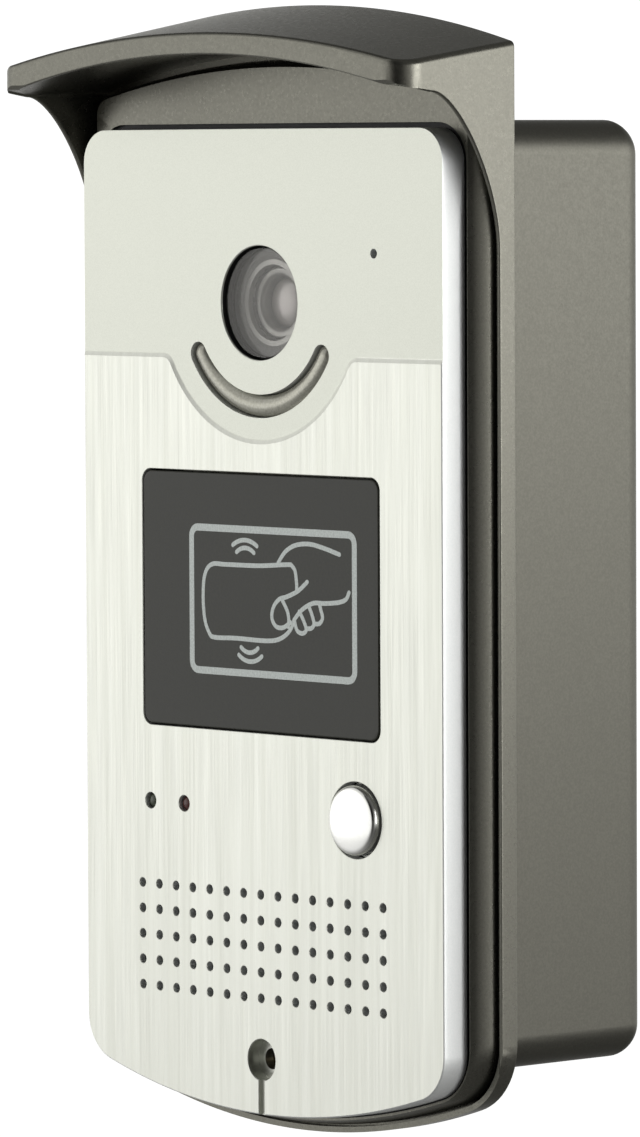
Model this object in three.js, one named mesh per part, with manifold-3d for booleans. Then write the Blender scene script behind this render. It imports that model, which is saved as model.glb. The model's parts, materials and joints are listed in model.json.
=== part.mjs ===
// Door intercom panel: an aluminium front plate with a camera, a smile-shaped infrared window, a card
// reader window, two status lights, a call button and a speaker grille. The plate sits on a dark metal
// casing that holds the electronics. A rain shroud with a visor frames the casing, and a back box
// fixes the whole to the wall.
//
// Frame: +X right, +Y into the wall, +Z up, millimetres. The origin is the centre of the back box's
// flat wall face. Depths are counted from the front plate's flat face towards the wall.

import * as THREE from 'three';
import { mergeVertices } from 'three/addons/utils/BufferGeometryUtils.js';
import Module from 'manifold-3d';

const wasm = await Module();
wasm.setup();

// ---------------------------------------------------------------- driving dimensions

const WALL_TO_FACE = 44;     // from the wall to the front plate's flat face
const GAP = 0.3;             // clearance between touching pieces
const FLAT = 20000;          // radius of an edge that is straight to the eye

// front plate
const PLATE = {
  half: 46.5, top: 79.1, bottom: -90.95, topArch: FLAT, bottomArch: 137, topCorner: 5.5, bottomCorner: 8,
};
const PLATE_DRAFT = 0.3;     // how far the plate's side stands out past its flat face
const PLATE_SKIN = 2.2;
const PLATE_REAR = 5.2;
const RIM_WALL = 1.4;
const STEP_Z = 40.5;         // the blasted upper field ends here
const STEP_DEPTH = 0.25;

// what the plate carries
const CAMERA_Z = 49.4;
const CAMERA_WINDOW_R = 9.55;
const SMILE = { z: 50.5, radius: 18.9, halfWidth: 2.03, halfAngle: THREE.MathUtils.degToRad(58) };
const MICROPHONE = { x: 29.5, z: 58.1 };
const CARD = { z: -2.4, width: 62, height: 45, corner: 2.2 };
const LIGHT_X = [-29.2, -20.2];
const LIGHT_Z = -38.3;
const BUTTON = { x: 24.6, z: -38.4, radius: 6.3 };
const GRILLE = { columns: 15, rows: 5, pitch: 4.5, top: -52.9, holeR: 0.8 };
const LOCK = { z: -81.6, headR: 3.55, floor: 2.5, holeR: 1.85, slot: 1.5, slotFloor: 0.7 };

// casing behind the plate
const CASING = {
  half: 48.3, top: 90, bottom: -92, topArch: 205, bottomArch: 138, topCorner: 3, bottomCorner: 9.9,
};
const GROOVE = {             // round the plate's rim
  half: 48.05, top: 80.3, bottom: -91.55, topArch: FLAT, bottomArch: 137.6, topCorner: 7, bottomCorner: 9.5,
};
const CASING_FRONT = 4.6;
const CASING_WALL = 1.8;
const CASING_REAR = 8.6;
const WELL = { half: 44, top: 76, bottom: -76.5, notchX: 36.5, notchZ: 68.5 };
const WELL_REAR = 25.1;

// rain shroud
const SHROUD = {
  half: 53, top: 100.7, bottom: -94.3, topArch: 203, bottomArch: 142, topCorner: 1.2, bottomCorner: 12.5,
};
const SHROUD_WALL = 1;
const VISOR_FRONT = -14.4;
const VISOR_TOP = 95.7;
const VISOR_ARCH = 245;
const VISOR_CORNER = 4.5;
const CEILING = { front: 92.6, rear: 92.1, arch: 208 };
const CHEEK = { frontZ: 86.9, start: -8, startZ: 85.2, end: 7.5, endZ: 58.6 };
const FLANGE_FRONT = 9.9;
const FLANGE_REAR = 11.2;

// back box
const BOX = { half: 49, halfHeight: 80.6, corner: 6, roundX: 1.2, roundZ: 3.4, wall: 2.4, front: 11.5 };
const BOX_POST = { x: 42, z: 74, radius: 4 };
const CABLE_ENTRY = { z: 34, radius: 9 };
const WALL_HOLE = { x: 24, z: 58, radius: 2.25 };

// boards
const MAIN_BOARD = { half: 38, top: 32, bottom: -43.8, front: 14, rear: 15.6 };
const BOARD_POST = { x: 35.5, low: -30, high: 26, radius: 2.75 };
const COVER_POST = { x: 38.5, z: 62, radius: 3.25 };
const SCREW_R = 1.3;
const SCREW_HOLE_R = 1.6;
const SPEAKER = { z: -59, radius: 15 };

// ---------------------------------------------------------------- solids

const at = (depth) => depth - WALL_TO_FACE;

/** Weld a closed geometry, drop slivers, and turn it into a solid that faces out. */
function solidOf(geometry) {
  geometry.deleteAttribute('normal');
  geometry.deleteAttribute('uv');
  const welded = mergeVertices(geometry, 1e-4);
  const corners = welded.index.array;
  const triangles = [];
  for (let i = 0; i < corners.length; i += 3) {
    const [a, b, c] = corners.slice(i, i + 3);
    if (a !== b && b !== c && c !== a) triangles.push(a, b, c);
  }
  const build = (triVerts) => new wasm.Manifold(new wasm.Mesh({
    numProp: 3,
    vertProperties: welded.attributes.position.array,
    triVerts: Uint32Array.from(triVerts),
  }));
  const solid = build(triangles);
  return solid.volume() > 0 ? solid : build(triangles.reverse());
}

/** A shape drawn in X and Z, pushed through from one depth to another. */
function prism(shape, front, rear) {
  const geometry = new THREE.ExtrudeGeometry(shape, { depth: rear - front, bevelEnabled: false });
  geometry.rotateX(Math.PI / 2);
  geometry.translate(0, at(rear), 0);
  return solidOf(geometry);
}

/** A round bar along the depth. */
function rod(radius, front, rear, x, z, sides = 14) {
  const geometry = new THREE.CylinderGeometry(radius, radius, rear - front, sides);
  geometry.translate(x, at((front + rear) / 2), z);
  return solidOf(geometry);
}

/** A profile of [radius, depth] points turned about an axis along the depth. */
function turned(profile, x, z, sides = 18) {
  const points = profile.map(([radius, depth]) => new THREE.Vector2(radius, at(depth)));
  const geometry = new THREE.LatheGeometry(points, sides);
  geometry.translate(x, 0, z);
  return solidOf(geometry);
}

function ring(outer, inner, front, rear, x, z, sides = 18) {
  return turned([[inner, front], [outer, front], [outer, rear], [inner, rear], [inner, front]], x, z, sides);
}

function block(left, right, front, rear, low, high) {
  const geometry = new THREE.BoxGeometry(right - left, rear - front, high - low);
  geometry.translate((left + right) / 2, at((front + rear) / 2), (low + high) / 2);
  return solidOf(geometry);
}

/** Sections of equal point count, front to back, joined into one closed body. */
function loft(sections) {
  const rings = sections.map(({ depth, shape }) => ({ depth, points: shape.getPoints() }));
  const count = rings[0].points.length;
  const positions = rings.flatMap(({ depth, points }) => points.flatMap((p) => [p.x, at(depth), p.y]));
  const index = [];
  for (let s = 0; s < rings.length - 1; s += 1) {
    for (let i = 0; i < count; i += 1) {
      const [a, b] = [s * count + i, s * count + (i + 1) % count];
      index.push(a, a + count, b + count, a, b + count, b);
    }
  }
  const last = (rings.length - 1) * count;
  for (const [a, b, c] of THREE.ShapeUtils.triangulateShape(rings[0].points, [])) index.push(a, b, c);
  for (const [a, b, c] of THREE.ShapeUtils.triangulateShape(rings.at(-1).points, [])) {
    index.push(last + a, last + c, last + b);
  }
  const geometry = new THREE.BufferGeometry();
  geometry.setAttribute('position', new THREE.Float32BufferAttribute(positions, 3));
  geometry.setIndex(index);
  return solidOf(geometry);
}

const join = (...solids) => solids.reduce((whole, solid) => whole.add(solid));
const cut = (whole, ...solids) => solids.reduce((rest, solid) => rest.subtract(solid), whole);

/** Both signs of x and both signs of z. */
const corners = (x, z) => [[-x, -z], [x, -z], [-x, z], [x, z]];

// ---------------------------------------------------------------- outlines in X and Z

/** Points along an arc, both ends included. */
function arc(x, z, radius, from, to, steps) {
  return Array.from({ length: steps + 1 }, (_, i) => {
    const angle = THREE.MathUtils.lerp(from, to, i / steps);
    return new THREE.Vector2(x + radius * Math.cos(angle), z + radius * Math.sin(angle));
  });
}

/** Arcs that run on into each other share their end points. */
const chain = (...arcs) => arcs.flatMap((points, i) => (i ? points.slice(1) : points));

/** Upright sides, an arched top and bottom edge, and rounded corners; grow moves the whole edge out. */
function panelShape(outline, grow = 0, cornerSteps = 4, archSteps = 8) {
  const half = outline.half + grow;
  const topCorner = outline.topCorner + grow;
  const bottomCorner = outline.bottomCorner + grow;
  const topArch = outline.topArch + grow;
  const bottomArch = outline.bottomArch + grow;
  const topCentre = outline.top + grow - topArch;
  const bottomCentre = outline.bottom - grow + bottomArch;
  const topX = half - topCorner;
  const topRise = Math.sqrt((topArch - topCorner) ** 2 - topX ** 2);
  const topAngle = Math.atan2(topRise, topX);
  const topZ = topCentre + topRise;
  const bottomX = half - bottomCorner;
  const bottomDrop = Math.sqrt((bottomArch - bottomCorner) ** 2 - bottomX ** 2);
  const bottomAngle = Math.atan2(bottomDrop, bottomX);
  const bottomZ = bottomCentre - bottomDrop;
  const turn = Math.PI;
  const full = 2 * Math.PI;
  return new THREE.Shape([
    ...chain(
      arc(topX, topZ, topCorner, 0, topAngle, cornerSteps),
      arc(0, topCentre, topArch, topAngle, turn - topAngle, archSteps),
      arc(-topX, topZ, topCorner, turn - topAngle, turn, cornerSteps),
    ),
    ...chain(
      arc(-bottomX, bottomZ, bottomCorner, turn, turn + bottomAngle, cornerSteps),
      arc(0, bottomCentre, bottomArch, turn + bottomAngle, full - bottomAngle, archSteps),
      arc(bottomX, bottomZ, bottomCorner, full - bottomAngle, full, cornerSteps),
    ),
  ]);
}

function roundedRect(half, low, high, radius, steps = 4) {
  const right = half - radius;
  const quarter = Math.PI / 2;
  return new THREE.Shape([
    ...arc(right, high - radius, radius, 0, quarter, steps),
    ...arc(-right, high - radius, radius, quarter, 2 * quarter, steps),
    ...arc(-right, low + radius, radius, 2 * quarter, 3 * quarter, steps),
    ...arc(right, low + radius, radius, 3 * quarter, 4 * quarter, steps),
  ]);
}

/** A round-ended slot along an arc that hangs below its centre, like a smile. */
function smileShape(halfWidth) {
  const { z, radius, halfAngle } = SMILE;
  const down = -Math.PI / 2;
  const [left, right] = [down - halfAngle, down + halfAngle];
  const end = (angle) => [radius * Math.cos(angle), z + radius * Math.sin(angle)];
  return new THREE.Shape(chain(
    arc(0, z, radius + halfWidth, left, right, 12),
    arc(...end(right), halfWidth, right, right + Math.PI, 4),
    arc(0, z, radius - halfWidth, right, left, 12),
    arc(...end(left), halfWidth, left + Math.PI, left + 2 * Math.PI, 4),
  ).slice(1));
}

/** The casing's rear well: a rectangle with a square notch at each corner for the box's posts. */
function wellShape(grow = 0) {
  const { half, top, bottom, notchX, notchZ } = WELL;
  const [x, nx] = [half + grow, notchX + grow];
  const [high, highNotch] = [top + grow, notchZ + grow];
  const [low, lowNotch] = [bottom - grow, -notchZ - grow];
  return new THREE.Shape([
    [nx, low], [nx, lowNotch], [x, lowNotch], [x, highNotch], [nx, highNotch], [nx, high],
    [-nx, high], [-nx, highNotch], [-x, highNotch], [-x, lowNotch], [-nx, lowNotch], [-nx, low],
  ].map(([px, pz]) => new THREE.Vector2(px, pz)));
}

// ---------------------------------------------------------------- front plate

function grilleHoles() {
  const { columns, rows, pitch, top, holeR } = GRILLE;
  const holes = [];
  for (let row = 0; row < rows; row += 1) {
    for (let column = 0; column < columns; column += 1) {
      const x = (column - (columns - 1) / 2) * pitch;
      holes.push(rod(holeR, -1, PLATE_SKIN + 1, x, top - row * pitch, 6));
    }
  }
  return holes;
}

const PLATE_SCREWS = [[-30, 70], [30, 70], [-36, -79.6], [36, -79.6]];

/** The blasted upper field with its round tab under the smile. */
function upperField() {
  const tabR = 26;
  const tabZ = 51.9;
  const field = prism(roundedRect(60, STEP_Z, 100, 0.5, 2), -2, STEP_DEPTH);
  return join(field, rod(tabR, -2, STEP_DEPTH, 0, tabZ, 40));
}

function frontPlate() {
  const edge = [[0, 0], [0.25, 0.2], [0.8, PLATE_DRAFT], [PLATE_REAR, PLATE_DRAFT]];
  const body = loft(edge.map(([depth, grow]) => ({ depth, shape: panelShape(PLATE, grow) })));
  const pocket = prism(panelShape(PLATE, PLATE_DRAFT - RIM_WALL), PLATE_SKIN, PLATE_REAR + 1);
  const bosses = PLATE_SCREWS.map(([x, z]) => rod(3, PLATE_SKIN - 0.5, CASING_FRONT - GAP, x, z));
  const lockBoss = rod(5.2, PLATE_SKIN - 0.5, CASING_FRONT - GAP, 0, LOCK.z);
  const { x, z, radius } = BUTTON;
  return cut(
    join(cut(body, pocket), ...bosses, lockBoss),
    upperField(),
    rod(CAMERA_WINDOW_R + GAP, -3, 6, 0, CAMERA_Z, 32),
    prism(smileShape(SMILE.halfWidth), -3, 6),
    rod(0.85, -3, 6, MICROPHONE.x, MICROPHONE.z, 8),
    prism(roundedRect(CARD.width / 2, CARD.z - CARD.height / 2, CARD.z + CARD.height / 2, CARD.corner), -3, 6),
    ...LIGHT_X.map((lightX) => rod(1.4, -3, 6, lightX, LIGHT_Z, 10)),
    rod(radius + GAP, -3, 6, x, z, 24),
    rod(LOCK.headR, -3, LOCK.floor, 0, LOCK.z, 16),
    rod(LOCK.holeR, -3, 6, 0, LOCK.z, 10),
    block(-LOCK.slot / 2, LOCK.slot / 2, -3, LOCK.slotFloor, LOCK.z - 14, LOCK.z),
    ...PLATE_SCREWS.map(([sx, sz]) => rod(SCREW_HOLE_R, PLATE_SKIN + 0.3, 6, sx, sz, 8)),
    ...grilleHoles(),
  );
}

// ---------------------------------------------------------------- casing

function casingShell() {
  const slope = [[CASING_FRONT, 0], [7, 1.95], [7.8, 2.45], [CASING_REAR, 2.6]];
  // the top and bottom edges slope less than the sides
  const skins = slope.map(([depth, grow]) => ({
    depth,
    shape: panelShape({
      ...CASING, half: CASING.half + grow, top: CASING.top + grow * 0.5,
      bottom: CASING.bottom - grow * 0.35, bottomCorner: CASING.bottomCorner + grow * 0.8,
    }),
  }));
  return loft(skins);
}

/** A band that follows the groove round the plate's rim. */
function rimBand(outerGrow, innerGrow, front, rear) {
  const outer = prism(panelShape(GROOVE, outerGrow), front, rear);
  const inner = prism(panelShape(PLATE, innerGrow), front - 1, rear + 1);
  return cut(outer, inner);
}

function frontCasing() {
  const inside = prism(panelShape({ ...CASING, half: 48.6, top: 89.2, bottom: -90.7 }), CASING_FRONT + CASING_WALL, 10);
  const rimFloor = rimBand(0.5, -2.5, 5.2, 7.2);
  const rimGroove = rimBand(0, PLATE_DRAFT - RIM_WALL - 0.4, 4, PLATE_REAR + GAP);
  const wellOuter = prism(wellShape(), CASING_FRONT + 0.5, WELL_REAR);
  const wellInner = prism(wellShape(-CASING_WALL), CASING_FRONT + CASING_WALL, WELL_REAR + 1);
  const coverPosts = corners(COVER_POST.x, COVER_POST.z).map(([x, z]) => (
    rod(COVER_POST.radius, CASING_FRONT + 1, WELL_REAR, x, z)
  ));
  const boardPosts = boardPostPlaces().map(([x, z]) => (
    rod(BOARD_POST.radius, CASING_FRONT + 1, MAIN_BOARD.front - GAP, x, z)
  ));
  const cardPad = prism(roundedRect(CARD.width / 2 - 1, CARD.z - 21.5, CARD.z + 21.5, 2, 2), 1.9, CASING_FRONT + 0.5);
  const collar = rod(CAMERA_WINDOW_R - 0.2, 2.9, CASING_FRONT + 0.5, 0, CAMERA_Z, 24);
  return cut(
    join(cut(casingShell(), inside), rimFloor, cut(wellOuter, wellInner), ...coverPosts, ...boardPosts, cardPad, collar),
    rimGroove,
    rod(8, 0, 10, 0, CAMERA_Z, 24),
    prism(smileShape(SMILE.halfWidth), 0, 10),
    rod(1.2, 0, 10, MICROPHONE.x, MICROPHONE.z, 8),
    ...LIGHT_X.map((x) => rod(1.6, 0, 10, x, LIGHT_Z, 8)),
    rod(7.8, 0, 10, BUTTON.x, BUTTON.z, 18),
    rod(13, 0, 10, 0, SPEAKER.z, 18),
    rod(2.2, 0, 10, 0, LOCK.z, 10),
    ...PLATE_SCREWS.map(([x, z]) => rod(SCREW_HOLE_R, 0, 10, x, z, 8)),
    ...corners(COVER_POST.x, COVER_POST.z).map(([x, z]) => rod(SCREW_HOLE_R, 15, 30, x, z, 8)),
    ...boardPostPlaces().map(([x, z]) => rod(SCREW_HOLE_R, 8, 20, x, z, 8)),
  );
}

function boardPostPlaces() {
  const { x, low, high } = BOARD_POST;
  return [[-x, low], [x, low], [-x, high], [x, high]];
}

function casingGasket() {
  const outline = { ...CASING, half: 50.6, top: 91, bottom: -92.5, bottomCorner: 11.7 };
  return cut(
    prism(panelShape(outline), CASING_REAR + GAP, FLANGE_FRONT - GAP),
    prism(panelShape(outline, -1.8), 8, 11),
  );
}

function rearCover() {
  return cut(
    prism(wellShape(), WELL_REAR + GAP, 27.2),
    block(-15.8, 15.8, 20, 30, 13.2, 24.8),
    ...corners(COVER_POST.x, COVER_POST.z).map(([x, z]) => rod(SCREW_HOLE_R, 20, 30, x, z, 8)),
  );
}

// ---------------------------------------------------------------- rain shroud and back box

/** The hood's outline at a depth: its roof falls towards the front and its front corners are round. */
function hoodOutline(depth) {
  const back = FLANGE_REAR;
  const share = (back - depth) / (back - VISOR_FRONT);
  const fromFront = Math.min(depth - VISOR_FRONT, VISOR_CORNER);
  const inset = VISOR_CORNER - Math.sqrt(VISOR_CORNER ** 2 - (VISOR_CORNER - fromFront) ** 2);
  return {
    half: SHROUD.half - inset,
    top: THREE.MathUtils.lerp(SHROUD.top, VISOR_TOP, share),
    topArch: THREE.MathUtils.lerp(SHROUD.topArch, VISOR_ARCH, share),
  };
}

function rainShroud() {
  const fractions = [0, 0.1, 0.3, 0.6, 1];
  const depths = [
    ...fractions.map((f) => VISOR_FRONT + VISOR_CORNER * f), -4, 3, FLANGE_REAR - 0.5, FLANGE_REAR,
  ];
  const outer = loft(depths.map((depth) => ({
    depth, shape: panelShape({ ...SHROUD, ...hoodOutline(depth) }, depth === FLANGE_REAR ? -0.4 : 0),
  })));
  const room = (depth, inset, ceiling) => ({
    depth,
    shape: panelShape({
      ...SHROUD, half: SHROUD.half - SHROUD_WALL - inset, bottom: SHROUD.bottom + SHROUD_WALL,
      top: ceiling, topArch: CEILING.arch, bottomCorner: SHROUD.bottomCorner - SHROUD_WALL,
    }),
  });
  const inner = loft([
    room(VISOR_FRONT - 2, VISOR_CORNER - 1.5, CEILING.front),
    room(VISOR_FRONT + 0.6, VISOR_CORNER - 1.5, CEILING.front),
    room(VISOR_FRONT + 2.4, 0.7, CEILING.front),
    room(VISOR_FRONT + 4.6, 0, CEILING.front),
    room(FLANGE_FRONT, 0, CEILING.rear),
  ]);
  const boss = rod(4.4, 7, FLANGE_REAR, 0, LOCK.z);
  return cut(
    join(cut(outer, inner, cheekCutter()), boss),
    prism(wellShape(0.6), FLANGE_FRONT - 1, FLANGE_REAR + 1),
    rod(3, 6, FLANGE_FRONT, 0, LOCK.z, 14),
    rod(1.6, 6, 20, 0, LOCK.z, 10),
    ...corners(BOX_POST.x, BOX_POST.z).map(([x, z]) => rod(1.7, 5, 20, x, z, 8)),
  );
}

/** Everything in front of the cheeks' edge, which sweeps from the visor back to the casing's sides. */
function cheekCutter() {
  const { frontZ, start, startZ, end, endZ } = CHEEK;
  const side = new THREE.Shape();
  side.moveTo(at(VISOR_FRONT - 5), frontZ);
  side.lineTo(at(start), startZ);
  side.bezierCurveTo(at(-2.2), startZ + 0.3, at(end), endZ + 12, at(end), endZ);
  side.lineTo(at(end), SHROUD.bottom - 5);
  side.lineTo(at(VISOR_FRONT - 5), SHROUD.bottom - 5);
  const width = 2 * SHROUD.half + 10;
  const geometry = new THREE.ExtrudeGeometry(side, { depth: width, bevelEnabled: false, curveSegments: 12 });
  // the shape's own axes become Y and Z, and its thickness runs along X
  geometry.applyMatrix4(new THREE.Matrix4().makeBasis(
    new THREE.Vector3(0, 1, 0), new THREE.Vector3(0, 0, 1), new THREE.Vector3(1, 0, 0),
  ));
  geometry.translate(-width / 2, 0, 0);
  return solidOf(geometry);
}

function backBox() {
  const { half, halfHeight, corner, roundX, roundZ, wall, front } = BOX;
  const outline = (share) => {
    const [x, z] = [half - roundX * share, halfHeight - roundZ * share];
    return roundedRect(x, -z, z, corner - roundZ * share);
  };
  const turns = [0, 0.35, 0.65, 0.87, 1].map((f) => Math.asin(f));
  const sections = [{ depth: front, shape: outline(0) }, ...turns.map((turn) => ({
    depth: WALL_TO_FACE - roundZ + roundZ * Math.sin(turn),
    shape: outline(1 - Math.cos(turn)),
  }))];
  const cavity = prism(
    roundedRect(half - wall, wall - halfHeight, halfHeight - wall, 3.6), front - 1, WALL_TO_FACE - wall,
  );
  const posts = corners(BOX_POST.x, BOX_POST.z).map(([x, z]) => (
    rod(BOX_POST.radius, front, WALL_TO_FACE - wall + 0.5, x, z)
  ));
  return cut(
    join(cut(loft(sections), cavity), ...posts),
    ...corners(BOX_POST.x, BOX_POST.z).map(([x, z]) => rod(SCREW_HOLE_R + 0.1, 5, 26, x, z, 8)),
    ...corners(WALL_HOLE.x, WALL_HOLE.z).map(([x, z]) => rod(WALL_HOLE.radius, 30, 50, x, z, 10)),
    rod(CABLE_ENTRY.radius, 30, 50, 0, CABLE_ENTRY.z, 20),
  );
}

/** A rubber ring with lips on both faces of the box's rear wall. */
function cableGrommet() {
  const wallFront = WALL_TO_FACE - BOX.wall;
  const body = CABLE_ENTRY.radius - GAP;
  return turned([
    [5, wallFront - 2.2], [11, wallFront - 2.2], [11, wallFront - GAP], [body, wallFront - GAP],
    [body, WALL_TO_FACE - 0.2], [5, WALL_TO_FACE - 0.2], [5, wallFront - 2.2],
  ], 0, CABLE_ENTRY.z, 20);
}

// ---------------------------------------------------------------- fasteners and board parts

/** A pan-head screw whose head faces the wall, or the front when its shank runs backwards. */
function screw(x, z, headFrom, headTo, tip, headR = 2.6) {
  const bearing = tip < headFrom ? headFrom : headTo;
  const crown = tip < headFrom ? headTo : headFrom;
  const bevel = (bearing - crown) * 0.35;
  return turned([
    [0, crown], [headR * 0.62, crown], [headR, crown + bevel], [headR, bearing],
    [SCREW_R, bearing], [SCREW_R, tip], [0, tip],
  ], x, z, 8);
}

class Helix extends THREE.Curve {
  constructor(radius, front, rear, turns, x, z) {
    super();
    Object.assign(this, { radius, front, rear, turns, x, z });
  }

  getPoint(t, target = new THREE.Vector3()) {
    const angle = 2 * Math.PI * this.turns * t;
    const depth = THREE.MathUtils.lerp(this.front, this.rear, t);
    return target.set(
      this.x + this.radius * Math.cos(angle), at(depth), this.z + this.radius * Math.sin(angle),
    );
  }
}

function buttonSpring() {
  const section = new THREE.Shape();
  section.absarc(0, 0, 0.28, 0, 2 * Math.PI);
  const path = new Helix(3.9, 4.3, 6.3, 2.5, BUTTON.x, BUTTON.z);
  return solidOf(new THREE.ExtrudeGeometry(section, { steps: 36, curveSegments: 3, extrudePath: path }));
}

/** Polished dome, a retaining flange behind the plate, and a stem that reaches the switch. */
function callButton() {
  const { x, z, radius } = BUTTON;
  const crown = 1.7;
  const dome = [0, 0.35, 0.65, 0.88, 1].map((f) => [
    (radius - 0.1) * f, 0.3 - crown * Math.sqrt(1 - f * f),
  ]);
  return turned([
    ...dome, [radius - 0.1, 2.6], [7.3, 2.6], [7.3, 3.6], [2.5, 3.6], [2.5, 8.2], [0, 8.2],
  ], x, z, 24);
}

function irLamp(angle) {
  const x = SMILE.radius * Math.cos(angle);
  const z = SMILE.z + SMILE.radius * Math.sin(angle);
  return turned([[0, 7.2], [0.9, 7.35], [1.4, 7.9], [1.4, 8.6], [0, 8.6]], x, z, 8);
}

function mainBoard() {
  const { half, top, bottom, front, rear } = MAIN_BOARD;
  return cut(
    prism(roundedRect(half, bottom, top, 1, 2), front, rear),
    ...boardPostPlaces().map(([x, z]) => rod(SCREW_HOLE_R, 10, 20, x, z, 8)),
  );
}

function terminalBlock() {
  const ways = 6;
  const pitch = 5;
  const body = block(-15.3, 15.3, 15.9, 26, 13.7, 24.3);
  const sockets = Array.from({ length: ways }, (_, i) => rod(1.7, 22, 27, (i - (ways - 1) / 2) * pitch, 19, 8));
  return cut(body, ...sockets);
}

// ---------------------------------------------------------------- the assembly

const panel = new THREE.Group();
panel.name = 'door_intercom_panel';

const FINISHES = {
  gunmetal: { color: 0x6e6b62, roughness: 0.42, metalness: 0.75 },
  aluminium: { color: 0xdfe0d6, roughness: 0.36, metalness: 0.85 },
  chrome: { color: 0xe4e4e0, roughness: 0.1, metalness: 1 },
  steel: { color: 0xa9aaac, roughness: 0.35, metalness: 1 },
  brass: { color: 0xb89a55, roughness: 0.35, metalness: 1 },
  smoked: { color: 0x4e4c46, roughness: 0.12, metalness: 0 },
  lens: { color: 0x1d2124, roughness: 0.05, metalness: 0 },
  diffuser: { color: 0x8c8880, roughness: 0.3, metalness: 0 },
  black: { color: 0x1c1c1d, roughness: 0.6, metalness: 0 },
  rubber: { color: 0x262626, roughness: 0.85, metalness: 0 },
  board: { color: 0x1f5a3a, roughness: 0.55, metalness: 0 },
  copper: { color: 0xb06a3a, roughness: 0.4, metalness: 1 },
  green: { color: 0x7f8f74, roughness: 0.3, metalness: 0 },
  red: { color: 0x8a4a40, roughness: 0.3, metalness: 0 },
  paper: { color: 0x2b2a28, roughness: 0.95, metalness: 0 },
  blue: { color: 0x3a6ea5, roughness: 0.5, metalness: 0 },
};

function add(name, solid, finish) {
  const { vertProperties, triVerts } = solid.getMesh();
  const geometry = new THREE.BufferGeometry();
  geometry.setAttribute('position', new THREE.BufferAttribute(vertProperties, 3));
  geometry.setIndex(new THREE.BufferAttribute(triVerts, 1));
  const mesh = new THREE.Mesh(geometry, new THREE.MeshStandardMaterial(FINISHES[finish]));
  mesh.name = name;
  panel.add(mesh);
}

/** One numbered mesh for each copy of a repeated piece. */
function addEach(name, solids, finish) {
  solids.forEach((solid, i) => add(`${name}_${i + 1}`, solid, finish));
}

// wall side
add('back_box', backBox(), 'gunmetal');
add('cable_grommet', cableGrommet(), 'rubber');
add('rain_shroud', rainShroud(), 'gunmetal');
addEach('shroud_screw', corners(BOX_POST.x, BOX_POST.z).map(([x, z]) => (
  screw(x, z, 7.8, FLANGE_FRONT - GAP, 20)
)), 'steel');
add('lock_insert', ring(2.7, 1.6, 7.2, FLANGE_FRONT - GAP, 0, LOCK.z, 12), 'brass');

// casing and plate
add('casing_gasket', casingGasket(), 'rubber');
add('front_casing', frontCasing(), 'gunmetal');
add('front_plate', frontPlate(), 'aluminium');
addEach('plate_screw', PLATE_SCREWS.map(([x, z]) => (
  screw(x, z, CASING_FRONT + CASING_WALL + GAP, 8.2, 2.8, 2.4)
)), 'steel');
add('rear_cover', rearCover(), 'black');
addEach('cover_screw', corners(COVER_POST.x, COVER_POST.z).map(([x, z]) => screw(x, z, 27.5, 29.3, 16)), 'steel');

// camera
add('camera_window', rod(CAMERA_WINDOW_R, 1.05, 2.6, 0, CAMERA_Z, 32), 'smoked');
add('camera_barrel', ring(6.2, 4.6, 5, 10.7, 0, CAMERA_Z), 'black');
add('camera_lens', turned([[0, 5.9], [2.2, 6.15], [4.2, 7], [4.2, 9.5], [0, 9.5]], 0, CAMERA_Z), 'lens');
add('camera_holder', block(-8, 8, 11, 15.7, CAMERA_Z - 8, CAMERA_Z + 8), 'black');
add('camera_board', block(-13, 13, 16, 17.6, CAMERA_Z - 13, CAMERA_Z + 13), 'board');

// infrared lamps behind the smile
add('light_guide', prism(smileShape(SMILE.halfWidth - GAP), 0.9, 6.9), 'diffuser');
add('lamp_board', cut(
  prism(roundedRect(24, 26, 66, 2), 8.9, 10.1), rod(6.8, 5, 12, 0, CAMERA_Z, 18),
), 'board');
addEach('infrared_lamp', [-135, -105, -75, -45].map((angle) => (
  irLamp(THREE.MathUtils.degToRad(angle))
)), 'lens');

// card reader
add('card_window', prism(roundedRect(
  CARD.width / 2 - GAP, CARD.z - CARD.height / 2 + GAP, CARD.z + CARD.height / 2 - GAP, CARD.corner - 0.2,
), 0, 1.6), 'smoked');
add('antenna_coil', cut(
  prism(roundedRect(29, CARD.z - 20, CARD.z + 20, 5), 7.9, 8.7),
  prism(roundedRect(25.5, CARD.z - 16.5, CARD.z + 16.5, 2.5), 5, 12),
), 'copper');
add('reader_board', prism(roundedRect(32, CARD.z - 23.5, CARD.z + 23.5, 1, 2), 9, 10.2), 'board');
add('board_header', block(-12, 12, 10.5, MAIN_BOARD.front - GAP, 10, 15), 'black');

// main board and what is on it
add('main_board', mainBoard(), 'board');
addEach('board_screw', boardPostPlaces().map(([x, z]) => screw(x, z, MAIN_BOARD.rear + GAP, 17.5, 9, 2.4)), 'steel');
add('processor_chip', block(-11, 1, 15.9, 17.2, -12, 0), 'black');
add('terminal_block', terminalBlock(), 'green');
add('lock_relay', block(12, 31, 15.9, 24.6, -17.5, -2.5), 'blue');
add('capacitor', turned([[0, 15.9], [4, 15.9], [4, 24.1], [3.4, 24.5], [0, 24.5]], -24, -8, 14), 'black');

// call button and its switch
add('call_button', callButton(), 'chrome');
add('button_spring', buttonSpring(), 'steel');
add('button_guide', ring(8, 2.8, 7, 8.4, BUTTON.x, BUTTON.z), 'black');
add('switch_plunger', rod(1.6, 8.5, 11, BUTTON.x, BUTTON.z, 14), 'red');
add('call_switch', cut(
  block(BUTTON.x - 3, BUTTON.x + 3, 10.2, MAIN_BOARD.front - GAP, BUTTON.z - 3, BUTTON.z + 3),
  rod(1.9, 9, 12.4, BUTTON.x, BUTTON.z, 12),
), 'black');

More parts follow.
